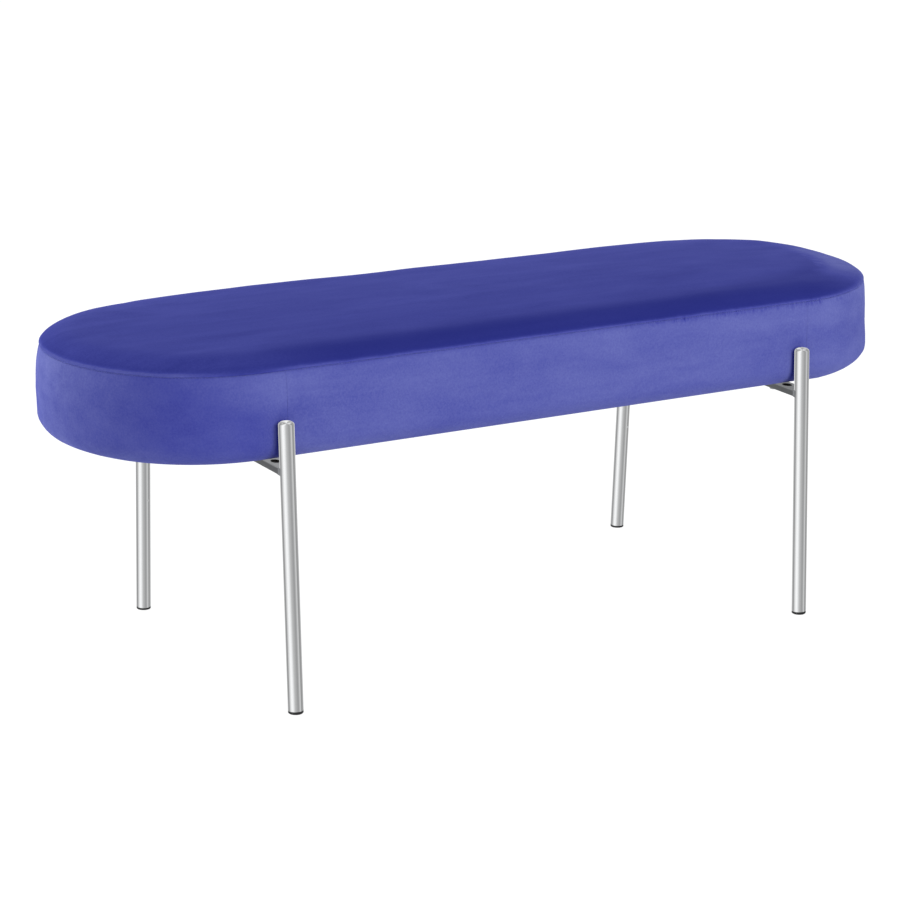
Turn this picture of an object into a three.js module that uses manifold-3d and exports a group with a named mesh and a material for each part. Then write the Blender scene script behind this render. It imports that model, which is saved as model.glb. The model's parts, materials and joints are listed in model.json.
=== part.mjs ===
// Upholstered bench: a long velvet cushion with round ends on two chromed tube leg frames.
// Millimetres, +Z up, +X along the length; the origin is on the floor under the middle of the seat.
import * as THREE from 'three';
import { mergeVertices } from 'three/addons/utils/BufferGeometryUtils.js';
import Module from 'manifold-3d';

// Cushion
const seatLength = 1218;
const seatDepth = 402;
const seatTopHeight = 450;
const cushionThickness = 133;
const crownHeight = 17; // from the seam to the highest line of the top
const crownDomeRise = 3; // the part of it that the flat middle of the top adds
const crownRollWidth = 44; // over which the top turns down to the seam
const middleStripWidth = 30; // flat strip along the middle of the top
const seamPullIn = 4.3; // the seam lies this far behind the fullest line of the band
const bandPullInHeight = 45; // below the seam, over which the band swells out to full
const underEdgeRadius = 29;
const hemWidth = 18; // flat part of the band turned under the board
const coverThickness = 2.5; // velvet with its bonded backing
const seamGap = 0.3;
const leftSeamSetIn = 24; // upright seams stand this far in from where the round end begins
const rightSeamSetIn = 2;

// Seat board, foam and dust cover
const boardThickness = 15;
const foamClearance = 0.3;
const topperThickness = 40; // softer foam under the crown, at its middle
const boardEdgeClearance = 0.6; // to the padding that wraps the board's edge
const dustCoverThickness = 0.8;
const dustCoverEdgeSetIn = 10; // behind the turn of the under edge
const dustCoverClearance = 0.3;

// Leg tubes
const legSetIn = 17; // each frame stands this far in from where the round end begins
const legTubeDiameter = 20;
const legTubeWall = 1.5;
const legTopRise = 55.5; // of the tube's top above the cushion's underside
const legTopRounding = 3.6;
const legToCushionGap = 0.3;
const legSplayDegrees = 2.82; // each foot stands out from the cushion's side
const ventHoleDiameter = 3;
const ventHoleHeight = 160;
const ventTurnDegrees = 20; // of the vent hole round the tube, from straight inwards

// Foot glides
const glideHeadHeight = 3.6;
const glideHeadSetIn = 0.2; // its radius is this much less than the tube's
const glideEdgeRounding = 1.2;
const glidePlugLength = 16;
const glidePlugClearance = 0.3;
const glidePlugTaper = 0.8;

// Cross rails
const railWidth = 25;
const railHeight = 8;
const railWall = 1.5;
const railCornerRadius = 1.5;
const railToDustCoverGap = 0.3;
const railCopeClearance = 0.3; // from the coped end to the leg tube
const railEndSetBack = 0.3; // from the leg's centre line
const weldReach = 5; // along the rail
const weldFlareSide = 0.6;
const weldFlareUpright = 3;
const drainHoleDiameter = 11;
const drainHoleFromLeg = 33;

// Fasteners that hold a rail to the board
const outerBoltSetIn = 51; // from the cushion's side
const innerBoltShare = 0.4; // of the outer bolt's distance from the middle
const boltDiameter = 6;
const boltHeadDiameter = 10.5;
const boltHeadHeight = 3.3;
const boltHeadCrownDiameter = 6;
const boltSocketWidth = 4; // across the flats
const boltSocketDepth = 2;
const boltHoleClearance = 0.5;
const boltTipSetBack = 1.5; // below the top of the board
const washerOuterDiameter = 14;
const washerThickness = 1.6;
const washerClearance = 0.3;
const nutBarrelDiameter = 7.8;
const nutBarrelLength = 11;
const nutFlangeDiameter = 19;
const nutFlangeThickness = 1.4;
const nutClearance = 0.3;

// Facets and cuts
const endArcSteps = 20;
const pullInSteps = 4;
const underEdgeSteps = 5;
const crownRollSteps = 5;
const crownDomeSteps = 2;
const tubeSides = 20;
const smallRoundSides = 12;
const hexSides = 6;
const roundingSteps = 4;
const weldSteps = 3;
const cutOverrun = 5;
const weldTogether = 1e-4;

// Places worked out from the sizes above
const endRadius = seatDepth / 2;
const straightHalf = seatLength / 2 - endRadius;
const seamHeight = seatTopHeight - crownHeight;
const undersideHeight = seatTopHeight - cushionThickness;
const boardBottom = undersideHeight + coverThickness + foamClearance;
const boardTop = boardBottom + boardThickness;
const boardInset = underEdgeRadius;
const foamSetIn = coverThickness + foamClearance;
const dustCoverTop = undersideHeight - dustCoverClearance;
const dustCoverBottom = dustCoverTop - dustCoverThickness;
const railTop = dustCoverBottom - railToDustCoverGap;
const railBottom = railTop - railHeight;
const legRadius = legTubeDiameter / 2;
const legSplay = THREE.MathUtils.degToRad(legSplayDegrees);
const legX = straightHalf - legSetIn;
const legTopHeight = undersideHeight + legTopRise;
const legTopY = endRadius + legToCushionGap + legRadius / Math.cos(legSplay);
const footY = legTopY + legTopHeight * Math.tan(legSplay);
const legAxisLength = legTopHeight / Math.cos(legSplay);
const washerBottom = railBottom - washerClearance - washerThickness;
const outerBoltY = endRadius - outerBoltSetIn;
const boltOffsets = { outer: outerBoltY, inner: innerBoltShare * outerBoltY };

const wasm = await Module();
wasm.setup();

const velvet = new THREE.MeshStandardMaterial({ color: 0x4c50b0, roughness: 0.85, metalness: 0 });
const chrome = new THREE.MeshStandardMaterial({ color: 0xc9cbcd, roughness: 0.16, metalness: 1 });
const blackPlastic = new THREE.MeshStandardMaterial({ color: 0x1b1b1d, roughness: 0.55, metalness: 0 });
const plywood = new THREE.MeshStandardMaterial({ color: 0xc8a574, roughness: 0.7, metalness: 0 });
const foam = new THREE.MeshStandardMaterial({ color: 0xe9e3cf, roughness: 0.95, metalness: 0 });
const blackCambric = new THREE.MeshStandardMaterial({ color: 0x202022, roughness: 0.95, metalness: 0 });
const zincSteel = new THREE.MeshStandardMaterial({ color: 0xb9bab6, roughness: 0.35, metalness: 0.9 });

function namedMesh(name, geometry, material) {
  const mesh = new THREE.Mesh(geometry, material);
  mesh.name = name;
  return mesh;
}

// A three.js geometry as a manifold-3d solid, and back again.
function solidOf(geometry) {
  const bare = geometry.clone();
  bare.deleteAttribute('normal');
  bare.deleteAttribute('uv');
  const merged = mergeVertices(bare, weldTogether);
  const vertProperties = merged.getAttribute('position').array;
  const triVerts = new Uint32Array(merged.index.array);
  return new wasm.Manifold(new wasm.Mesh({ numProp: 3, vertProperties, triVerts }));
}

function geometryOf(solid) {
  const mesh = solid.getMesh();
  const geometry = new THREE.BufferGeometry();
  geometry.setAttribute('position', new THREE.Float32BufferAttribute(mesh.vertProperties, 3));
  geometry.setIndex(new THREE.Uint32BufferAttribute(mesh.triVerts, 1));
  geometry.computeVertexNormals();
  return geometry;
}

// Upright round bar between two heights, on the axis through (x, y).
function uprightBar(x, y, diameter, low, high, sides) {
  const bar = new THREE.CylinderGeometry(diameter / 2, diameter / 2, high - low, sides);
  bar.rotateX(Math.PI / 2);
  bar.translate(x, y, (low + high) / 2);
  return bar;
}

// Six times the volume that a triangle spans with the origin; their sum tells which way the faces point.
function spannedVolume(positions, a, b, c) {
  const corners = [a, b, c].map((i) => new THREE.Vector3().fromArray(positions, 3 * i));
  return corners[0].dot(corners[1].cross(corners[2]));
}

// A closed solid through a row of loops with equally many points. endOutline is the flat form of one loop,
// in the same order, from which the first and last loops are filled.
function loftedGeometry(loops, endOutline) {
  const count = endOutline.length;
  const positions = loops.flat().flatMap((point) => [point.x, point.y, point.z]);
  const lastLoop = (loops.length - 1) * count;
  const faces = [];
  for (let loop = 0; loop < lastLoop; loop += count) {
    for (let k = 0; k < count; k += 1) {
      const here = loop + k;
      const next = loop + ((k + 1) % count);
      faces.push([here, next, next + count], [here, next + count, here + count]);
    }
  }
  const turning = Math.sign(THREE.ShapeUtils.area(endOutline));
  for (const [a, b, c] of THREE.ShapeUtils.triangulateShape(endOutline, [])) {
    const corners = [endOutline[a], endOutline[b], endOutline[c]];
    const sameWay = Math.sign(THREE.ShapeUtils.area(corners)) === turning;
    const [second, third] = sameWay ? [b, c] : [c, b];
    faces.push([a, third, second], [lastLoop + a, lastLoop + second, lastLoop + third]);
  }
  const volume = faces.reduce((sum, [a, b, c]) => sum + spannedVolume(positions, a, b, c), 0);
  const outwards = volume > 0 ? faces : faces.map(([a, b, c]) => [a, c, b]);
  const geometry = new THREE.BufferGeometry();
  geometry.setAttribute('position', new THREE.Float32BufferAttribute(positions, 3));
  geometry.setIndex(outwards.flat());
  geometry.computeVertexNormals();
  return geometry;
}

// The cushion's plan is a stadium. A place on it is a point of its widest line with the outward direction there.
function roundEnd(side) {
  const places = [];
  for (let step = 0; step <= endArcSteps; step += 1) {
    const angle = -Math.PI / 2 + (Math.PI * step) / endArcSteps;
    const outward = new THREE.Vector2(side * Math.cos(angle), side * Math.sin(angle));
    const point = new THREE.Vector2(side * straightHalf, 0).addScaledVector(outward, endRadius);
    places.push({ point, outward });
  }
  return places;
}

function wholePlan() {
  return [...roundEnd(1), ...roundEnd(-1)];
}

// A profile point is (inset behind the widest line, height); at a place of the plan it becomes a point in space.
function profilePoint(place, inset, height) {
  const flat = place.point.clone().addScaledVector(place.outward, -inset);
  return new THREE.Vector3(flat.x, flat.y, height);
}

// Moves an open profile to its inner side, which lies on the left of its direction, keeping an even wall.
// An end at the seam stays at its height, so that both sides of the seam are cut level.
function inwardProfile(profile, distance) {
  const last = profile.length - 1;
  return profile.map((point, k) => {
    if (Math.abs(point.y - seamHeight) <= seamGap) {
      return new THREE.Vector2(point.x + distance, point.y);
    }
    const first = profile[Math.max(k, 1)].clone().sub(profile[Math.max(k - 1, 0)]).normalize();
    const second = profile[Math.min(k + 1, last)].clone().sub(profile[Math.min(k, last - 1)]).normalize();
    const middle = first.clone().add(second).normalize();
    const across = new THREE.Vector2(-middle.y, middle.x);
    return point.clone().addScaledVector(across, distance / middle.dot(first));
  });
}

// From the flat strip along the middle of the top, out and down to the seam.
function crownProfile() {
  const profile = [];
  const rollHeight = crownHeight - crownDomeRise;
  const rollStart = seamPullIn + crownRollWidth;
  const domeWidth = endRadius - middleStripWidth / 2 - rollStart;
  for (let step = 0; step < crownDomeSteps; step += 1) {
    const out = step / crownDomeSteps;
    const inset = rollStart + domeWidth * (1 - out);
    profile.push(new THREE.Vector2(inset, seatTopHeight - crownDomeRise * out ** 2));
  }
  for (let step = 0; step <= crownRollSteps; step += 1) {
    const angle = (Math.PI / 2) * (1 - step / crownRollSteps);
    const inset = seamPullIn + crownRollWidth * (1 - Math.cos(angle));
    profile.push(new THREE.Vector2(inset, seamHeight + rollHeight * Math.sin(angle)));
  }
  return profile;
}

// From just under the seam, out to full, down, round the under edge and in along the hem.
function bandProfile() {
  const profile = [];
  for (let step = 0; step <= pullInSteps; step += 1) {
    const down = step / pullInSteps;
    const height = seamHeight - seamGap - bandPullInHeight * down;
    profile.push(new THREE.Vector2(seamPullIn * (1 - down) ** 3, height));
  }
  for (let step = 0; step <= underEdgeSteps; step += 1) {
    const angle = (Math.PI / 2) * (step / underEdgeSteps);
    const inset = underEdgeRadius * (1 - Math.cos(angle));
    const height = undersideHeight + underEdgeRadius * (1 - Math.sin(angle));
    profile.push(new THREE.Vector2(inset, height));
  }
  profile.push(new THREE.Vector2(underEdgeRadius + hemWidth, undersideHeight));
  return profile;
}

// Loops round the whole plan, one for each profile point.
function planLoops(profile) {
  return profile.map((corner) => wholePlan().map((place) => profilePoint(place, corner.x, corner.y)));
}

function plateOutline(inset) {
  return wholePlan().map((place) => place.point.clone().addScaledVector(place.outward, -inset));
}

function topPanel() {
  const outer = crownProfile();
  const inner = inwardProfile(outer, coverThickness).reverse();
  return namedMesh('top_panel', loftedGeometry(planLoops([...outer, ...inner]), plateOutline(0)), velvet);
}

// One length of the band, swept along its places.
function bandPiece(name, places) {
  const outer = bandProfile();
  const section = [...outer, ...inwardProfile(outer, coverThickness).reverse()];
  const loops = places.map((place) => section.map((corner) => profilePoint(place, corner.x, corner.y)));
  return namedMesh(name, loftedGeometry(loops, section), velvet);
}

function sidePlace(x, side) {
  return { point: new THREE.Vector2(x, side * endRadius), outward: new THREE.Vector2(0, side) };
}

function coverBands() {
  const leftSeam = -(straightHalf - leftSeamSetIn);
  const rightSeam = straightHalf - rightSeamSetIn;
  const halfGap = seamGap / 2;
  const straight = (side) => [sidePlace(leftSeam + halfGap, side), sidePlace(rightSeam - halfGap, side)];
  const left = [sidePlace(leftSeam - halfGap, 1), ...roundEnd(-1), sidePlace(leftSeam - halfGap, -1)];
  const right = [sidePlace(rightSeam + halfGap, -1), ...roundEnd(1), sidePlace(rightSeam + halfGap, 1)];
  return [
    bandPiece('front_band', straight(-1)),
    bandPiece('rear_band', straight(1)),
    bandPiece('left_end_band', left),
    bandPiece('right_end_band', right),
  ];
}

// The foam's side follows the inside of the band. It is cut level where the topper meets the core.
function foamSideAbove(height) {
  return inwardProfile(bandProfile(), foamSetIn).filter((corner) => corner.y > height);
}

function foamSideBelow(height) {
  return inwardProfile(bandProfile(), foamSetIn).filter((corner) => corner.y < height);
}

// Softer foam that fills the crown, down to the firm core.
function foamTopper() {
  const crown = inwardProfile(crownProfile(), foamSetIn);
  const bottom = seatTopHeight - topperThickness;
  const side = foamSideAbove(bottom);
  const shoulder = side[side.length - 1].x;
  const underneath = [new THREE.Vector2(shoulder, bottom), new THREE.Vector2(crown[0].x, bottom)];
  const loops = planLoops([...crown, ...side, ...underneath]);
  return namedMesh('foam_topper', loftedGeometry(loops, plateOutline(0)), foam);
}

// Firm foam on the board, with an edge that wraps down round it and fills out the turn of the band.
function foamCore() {
  const top = seatTopHeight - topperThickness - foamClearance;
  const above = foamSideAbove(top);
  const shoulder = above[above.length - 1].x;
  const middle = endRadius - middleStripWidth / 2;
  const lipInset = boardInset - boardEdgeClearance;
  const side = foamSideBelow(top).filter((corner) => corner.x < lipInset);
  const lipBottom = side[side.length - 1].y;
  const restHeight = boardTop + foamClearance;
  const profile = [
    new THREE.Vector2(middle, top),
    new THREE.Vector2(shoulder, top),
    ...side,
    new THREE.Vector2(lipInset, lipBottom),
    new THREE.Vector2(lipInset, restHeight),
    new THREE.Vector2(middle, restHeight),
  ];
  return namedMesh('foam_core', loftedGeometry(planLoops(profile), plateOutline(0)), foam);
}

// Where the bolts go through, seen from above.
function boltPlaces() {
  const places = [];
  for (const x of [-legX, legX]) {
    for (const y of [-boltOffsets.outer, -boltOffsets.inner, boltOffsets.inner, boltOffsets.outer]) {
      places.push(new THREE.Vector2(x, y));
    }
  }
  return places;
}

function stadiumPlate(inset, low, high) {
  const shape = new THREE.Shape(plateOutline(inset));
  const plate = new THREE.ExtrudeGeometry(shape, { depth: high - low, bevelEnabled: false });
  plate.translate(0, 0, low);
  return plate;
}

function seatBoard() {
  let board = solidOf(stadiumPlate(boardInset, boardBottom, boardTop));
  const barrelHole = nutBarrelDiameter + 2 * nutClearance;
  const flangeSeat = nutFlangeDiameter + 2 * nutClearance;
  const seatFloor = boardTop - nutFlangeThickness - nutClearance;
  for (const { x, y } of boltPlaces()) {
    const low = boardBottom - cutOverrun;
    const high = boardTop + cutOverrun;
    board = board.subtract(solidOf(uprightBar(x, y, barrelHole, low, high, smallRoundSides)));
    board = board.subtract(solidOf(uprightBar(x, y, flangeSeat, seatFloor, high, smallRoundSides)));
  }
  return namedMesh('seat_board', geometryOf(board), plywood);
}

function dustCover() {
  const inset = underEdgeRadius + dustCoverEdgeSetIn;
  let cover = solidOf(stadiumPlate(inset, dustCoverBottom, dustCoverTop));
  const hole = boltDiameter + 2 * boltHoleClearance;
  for (const { x, y } of boltPlaces()) {
    const low = dustCoverBottom - cutOverrun;
    const high = dustCoverTop + cutOverrun;
    cover = cover.subtract(solidOf(uprightBar(x, y, hole, low, high, smallRoundSides)));
  }
  return namedMesh('dust_cover', geometryOf(cover), blackCambric);
}

// The tube stands on the leg's own axis: closed and rounded at the top, open at the bottom for the glide.
function legTubeGeometry() {
  const bore = legRadius - legTubeWall;
  const profile = [new THREE.Vector2(0, legAxisLength - legTubeWall)];
  profile.push(new THREE.Vector2(bore, legAxisLength - legTubeWall));
  profile.push(new THREE.Vector2(bore, glideHeadHeight));
  profile.push(new THREE.Vector2(legRadius, glideHeadHeight));
  for (let step = 0; step <= roundingSteps; step += 1) {
    const angle = (Math.PI / 2) * (step / roundingSteps);
    const radius = legRadius - legTopRounding * (1 - Math.cos(angle));
    profile.push(new THREE.Vector2(radius, legAxisLength - legTopRounding * (1 - Math.sin(angle))));
  }
  profile.push(new THREE.Vector2(0, legAxisLength));
  const tube = new THREE.LatheGeometry(profile, tubeSides);
  tube.rotateX(Math.PI / 2);
  return tube;
}

function ventHole() {
  const drill = new THREE.CylinderGeometry(
    ventHoleDiameter / 2, ventHoleDiameter / 2, legRadius + cutOverrun, smallRoundSides);
  drill.translate(0, (legRadius + cutOverrun) / 2, ventHoleHeight);
  drill.rotateZ(THREE.MathUtils.degToRad(ventTurnDegrees));
  return drill;
}

function legTube(name) {
  const drilled = solidOf(legTubeGeometry()).subtract(solidOf(ventHole()));
  return namedMesh(name, geometryOf(drilled), chrome);
}

// Plug and head of the glide on the leg's axis; the head is cut level with the floor.
function footGlide(name, lean) {
  const plug = legRadius - legTubeWall - glidePlugClearance;
  const head = legRadius - glideHeadSetIn;
  const shoulder = glideHeadHeight - glidePlugClearance;
  const plugTop = shoulder + glidePlugLength;
  const sole = -head * Math.tan(legSplay);
  const glide = new THREE.LatheGeometry([
    new THREE.Vector2(0, sole),
    new THREE.Vector2(head - glideEdgeRounding, sole),
    new THREE.Vector2(head, glideEdgeRounding),
    new THREE.Vector2(head, shoulder),
    new THREE.Vector2(plug, shoulder),
    new THREE.Vector2(plug, plugTop - glideEdgeRounding),
    new THREE.Vector2(plug - glidePlugTaper, plugTop),
    new THREE.Vector2(0, plugTop),
  ], tubeSides);
  glide.rotateX(Math.PI / 2);
  glide.applyMatrix4(lean);
  const floor = new THREE.BoxGeometry(seatDepth, seatDepth, cutOverrun);
  floor.translate(0, 0, -cutOverrun / 2);
  const level = geometryOf(solidOf(glide).subtract(solidOf(floor)));
  level.applyMatrix4(lean.clone().invert());
  return namedMesh(name, level, blackPlastic);
}

// A leg with its glide. Its group leans the top in over the frame's middle; the rear leg is turned half round.
function legAssembly(frameName, place) {
  const leaning = new THREE.Group();
  leaning.rotation.x = -legSplay;
  leaning.updateMatrix();
  leaning.add(legTube(`${frameName}_${place}_leg`));
  leaning.add(footGlide(`${frameName}_${place}_glide`, leaning.matrix));
  leaning.position.y = -footY;
  const turned = new THREE.Group();
  turned.rotation.z = place === 'rear' ? Math.PI : 0;
  turned.add(leaning);
  return turned;
}

// Rounded rectangle in the rail's section, as a list of corners round the rail's axis.
function railSection(halfWidth, halfHeight, radius) {
  const shape = new THREE.Shape();
  const quarter = Math.PI / 2;
  shape.absarc(halfWidth - radius, halfHeight - radius, radius, 0, quarter);
  shape.absarc(radius - halfWidth, halfHeight - radius, radius, quarter, 2 * quarter);
  shape.absarc(radius - halfWidth, radius - halfHeight, radius, 2 * quarter, 3 * quarter);
  shape.absarc(halfWidth - radius, radius - halfHeight, radius, 3 * quarter, 4 * quarter);
  return shape.getPoints(1);
}

function railBar(setIn, halfLength) {
  const radius = railCornerRadius / (setIn ? 2 : 1);
  const section = railSection(railWidth / 2 - setIn, railHeight / 2 - setIn, radius);
  const bar = new THREE.ExtrudeGeometry(new THREE.Shape(section), { depth: 2 * halfLength, bevelEnabled: false });
  bar.translate(0, 0, -halfLength);
  bar.rotateX(Math.PI / 2);
  bar.translate(0, 0, (railTop + railBottom) / 2);
  return bar;
}

// Weld that flares from the rail to the leg, hollow-faced as a ground fillet.
function railWeld(end, halfLength) {
  const sections = [];
  for (let step = 0; step <= weldSteps; step += 1) {
    const along = Math.sin((Math.PI / 2) * (step / weldSteps));
    const flare = 1 - Math.cos((Math.PI / 2) * (step / weldSteps));
    const halfWidth = railWidth / 2 + weldFlareSide * flare;
    const halfHeight = railHeight / 2 + weldFlareUpright * flare;
    const y = halfLength - weldReach * (1 - along);
    const section = railSection(halfWidth, halfHeight, railCornerRadius);
    sections.push({ section, y });
  }
  const middle = (railTop + railBottom) / 2;
  const toSpace = ({ section, y }) => section.map((p) => new THREE.Vector3(p.x, end * y, middle + p.y));
  return loftedGeometry(sections.map(toSpace), sections[0].section);
}

// The leg's outside, a little larger, where it crosses the rail's end.
function copingBar(end) {
  const radius = legRadius + railCopeClearance;
  const bar = new THREE.CylinderGeometry(radius, radius, legAxisLength, tubeSides);
  bar.rotateX(Math.PI / 2);
  bar.translate(0, 0, legAxisLength / 2);
  bar.rotateX(end * legSplay);
  bar.translate(0, end * footY, 0);
  return bar;
}

function crossRail(name) {
  const middle = (railTop + railBottom) / 2;
  const legCentreY = footY - middle * Math.tan(legSplay);
  const halfLength = legCentreY - railEndSetBack;
  let rail = solidOf(railBar(0, halfLength));
  for (const end of [-1, 1]) {
    rail = rail.add(solidOf(railWeld(end, halfLength)));
  }
  rail = rail.subtract(solidOf(railBar(railWall, halfLength + cutOverrun)));
  for (const end of [-1, 1]) {
    rail = rail.subtract(solidOf(copingBar(end)));
    const drainY = end * (legCentreY - drainHoleFromLeg);
    const drain = uprightBar(0, drainY, drainHoleDiameter, middle, railTop + cutOverrun, tubeSides);
    rail = rail.subtract(solidOf(drain));
    for (const offset of Object.values(boltOffsets)) {
      const hole = boltDiameter + 2 * boltHoleClearance;
      const low = railBottom - cutOverrun;
      const drill = uprightBar(0, end * offset, hole, low, railTop + cutOverrun, smallRoundSides);
      rail = rail.subtract(solidOf(drill));
    }
  }
  return namedMesh(name, geometryOf(rail), chrome);
}

// Turns a profile of (radius, height) round the upright axis.
function turned(profile, sides) {
  const piece = new THREE.LatheGeometry(profile.map(([r, z]) => new THREE.Vector2(r, z)), sides);
  piece.rotateX(Math.PI / 2);
  return piece;
}

function bolt(name) {
  const seat = washerBottom - washerClearance;
  const headBottom = seat - boltHeadHeight;
  const body = turned([
    [0, headBottom],
    [boltHeadCrownDiameter / 2, headBottom],
    [boltHeadDiameter / 2, seat - boltHeadHeight / 3],
    [boltHeadDiameter / 2, seat],
    [boltDiameter / 2, seat],
    [boltDiameter / 2, boardTop - boltTipSetBack],
    [0, boardTop - boltTipSetBack],
  ], smallRoundSides);
  const acrossCorners = boltSocketWidth / Math.cos(Math.PI / hexSides);
  const socket = uprightBar(0, 0, acrossCorners, headBottom - cutOverrun, headBottom + boltSocketDepth, hexSides);
  return namedMesh(name, geometryOf(solidOf(body).subtract(solidOf(socket))), zincSteel);
}

function washer(name) {
  const hole = boltDiameter / 2 + washerClearance;
  const rim = washerOuterDiameter / 2;
  const top = washerBottom + washerThickness;
  const profile = [[hole, washerBottom], [rim, washerBottom], [rim, top], [hole, top], [hole, washerBottom]];
  return namedMesh(name, turned(profile, smallRoundSides), zincSteel);
}

// Flanged nut let into the top of the board, with its barrel down the hole.
function teeNut(name) {
  const bore = boltDiameter / 2 + nutClearance;
  const barrel = nutBarrelDiameter / 2;
  const flange = nutFlangeDiameter / 2;
  const top = boardTop;
  const under = top - nutFlangeThickness;
  const low = top - nutBarrelLength;
  const profile = [[bore, low], [barrel, low], [barrel, under], [flange, under], [flange, top], [bore, top], [bore, low]];
  return namedMesh(name, turned(profile, smallRoundSides), zincSteel);
}

function fastenerSet(frameName, label, y) {
  const set = new THREE.Group();
  set.add(bolt(`${frameName}_bolt_${label}`));
  set.add(washer(`${frameName}_washer_${label}`));
  set.add(teeNut(`${frameName}_tee_nut_${label}`));
  set.position.y = y;
  return set;
}

// One leg frame: a front and a rear leg welded to a cross rail, and what bolts the rail to the board.
function legFrame(frameName, x) {
  const frame = new THREE.Group();
  frame.add(crossRail(`${frameName}_cross_rail`));
  frame.add(legAssembly(frameName, 'front'));
  frame.add(legAssembly(frameName, 'rear'));
  for (const [row, offset] of Object.entries(boltOffsets)) {
    frame.add(fastenerSet(frameName, `front_${row}`, -offset));
    frame.add(fastenerSet(frameName, `rear_${row}`, offset));
  }
  frame.position.x = x;
  return frame;
}

function cushion() {
  const group = new THREE.Group();
  group.add(topPanel(), ...coverBands(), foamTopper(), foamCore(), seatBoard(), dustCover());
  return group;
}

const bench = new THREE.Group();
bench.add(cushion());
bench.add(legFrame('left', -legX));
bench.add(legFrame('right', legX));

export default bench;
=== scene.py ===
"""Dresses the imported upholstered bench: velvet cover, foam, dust cover, chromed frames and fasteners."""

import json
import math

import bmesh
import bpy
import numpy as np
from mathutils import Matrix, Vector, noise


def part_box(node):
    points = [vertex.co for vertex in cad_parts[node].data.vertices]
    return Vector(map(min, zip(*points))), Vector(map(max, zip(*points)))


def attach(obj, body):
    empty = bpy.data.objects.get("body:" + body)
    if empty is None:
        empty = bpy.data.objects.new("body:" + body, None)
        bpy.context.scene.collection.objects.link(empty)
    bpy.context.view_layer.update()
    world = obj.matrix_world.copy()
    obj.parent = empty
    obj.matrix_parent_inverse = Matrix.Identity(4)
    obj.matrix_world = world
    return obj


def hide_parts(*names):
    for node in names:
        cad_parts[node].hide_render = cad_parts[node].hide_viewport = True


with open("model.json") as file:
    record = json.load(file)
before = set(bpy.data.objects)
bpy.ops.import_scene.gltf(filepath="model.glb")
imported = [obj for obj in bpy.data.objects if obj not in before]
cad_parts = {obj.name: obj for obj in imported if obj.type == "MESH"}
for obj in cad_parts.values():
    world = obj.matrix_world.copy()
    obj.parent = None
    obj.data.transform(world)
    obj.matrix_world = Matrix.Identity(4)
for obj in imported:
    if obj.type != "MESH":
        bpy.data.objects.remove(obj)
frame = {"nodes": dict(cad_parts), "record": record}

bl_info = {
    "name": "Upholstered Bench",
    "version": (1, 0, 0),
    "blender": (4, 5, 0),
    "location": "View3D > Sidebar > Bench",
    "description": "Velvet bench with round ends on two chromed tube frames",
    "category": "Object",
}

MM = 0.001
BODY = "root"
SIDES = ("left", "right")
ROWS = ("front", "rear")
BOLTS = [f"{row}_{place}" for row in ROWS for place in ("outer", "inner")]

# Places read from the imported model, in metres
SEAT_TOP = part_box("top_panel")[1].z
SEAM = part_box("top_panel")[0].z
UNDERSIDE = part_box("front_band")[0].z
END_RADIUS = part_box("rear_band")[1].y
HALF_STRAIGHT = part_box("right_end_band")[1].x - END_RADIUS
LEFT_SEAM = (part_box("front_band")[0].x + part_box("left_end_band")[1].x) / 2
RIGHT_SEAM = (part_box("front_band")[1].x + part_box("right_end_band")[0].x) / 2
BOARD_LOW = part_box("seat_board")[0].z
BOARD_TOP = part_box("seat_board")[1].z
SHEET_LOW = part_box("dust_cover")[0].z
SHEET_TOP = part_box("dust_cover")[1].z
RAIL_TOP = SHEET_LOW - 0.3 * MM
LEG_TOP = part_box("left_front_leg")[1].z
FEET = {m["name"].removesuffix("_foot"): Vector(m["pos_m"]) for m in frame["record"]["mounts"]}
LEG_X = FEET["right_front"].x
LEAN = math.radians(2.82)  # each leg leans in over the middle of its frame
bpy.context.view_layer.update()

# The cover's section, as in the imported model
PULL_IN = 4.3 * MM  # the seam lies this far behind the fullest line of the band
PULL_IN_HEIGHT = 45 * MM
UNDER_EDGE = 29 * MM
HEM = 18 * MM
ROLL_WIDTH = 44 * MM
DOME_RISE = 3 * MM


def linear(code):
    """An sRGB hex colour as the linear RGBA that Blender's sockets take."""
    parts = [int(code[i:i + 2], 16) / 255 for i in (0, 2, 4)]
    return tuple(c / 12.92 if c <= 0.04045 else ((c + 0.055) / 1.055) ** 2.4 for c in parts) + (1.0,)


def length(name, text, default):
    return bpy.props.FloatProperty(name=name, description=text, default=default, unit="LENGTH", precision=5)


def colour(name, text, code):
    return bpy.props.FloatVectorProperty(
        name=name, description=text, default=linear(code), size=4, min=0, max=1, subtype="COLOR")


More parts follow.
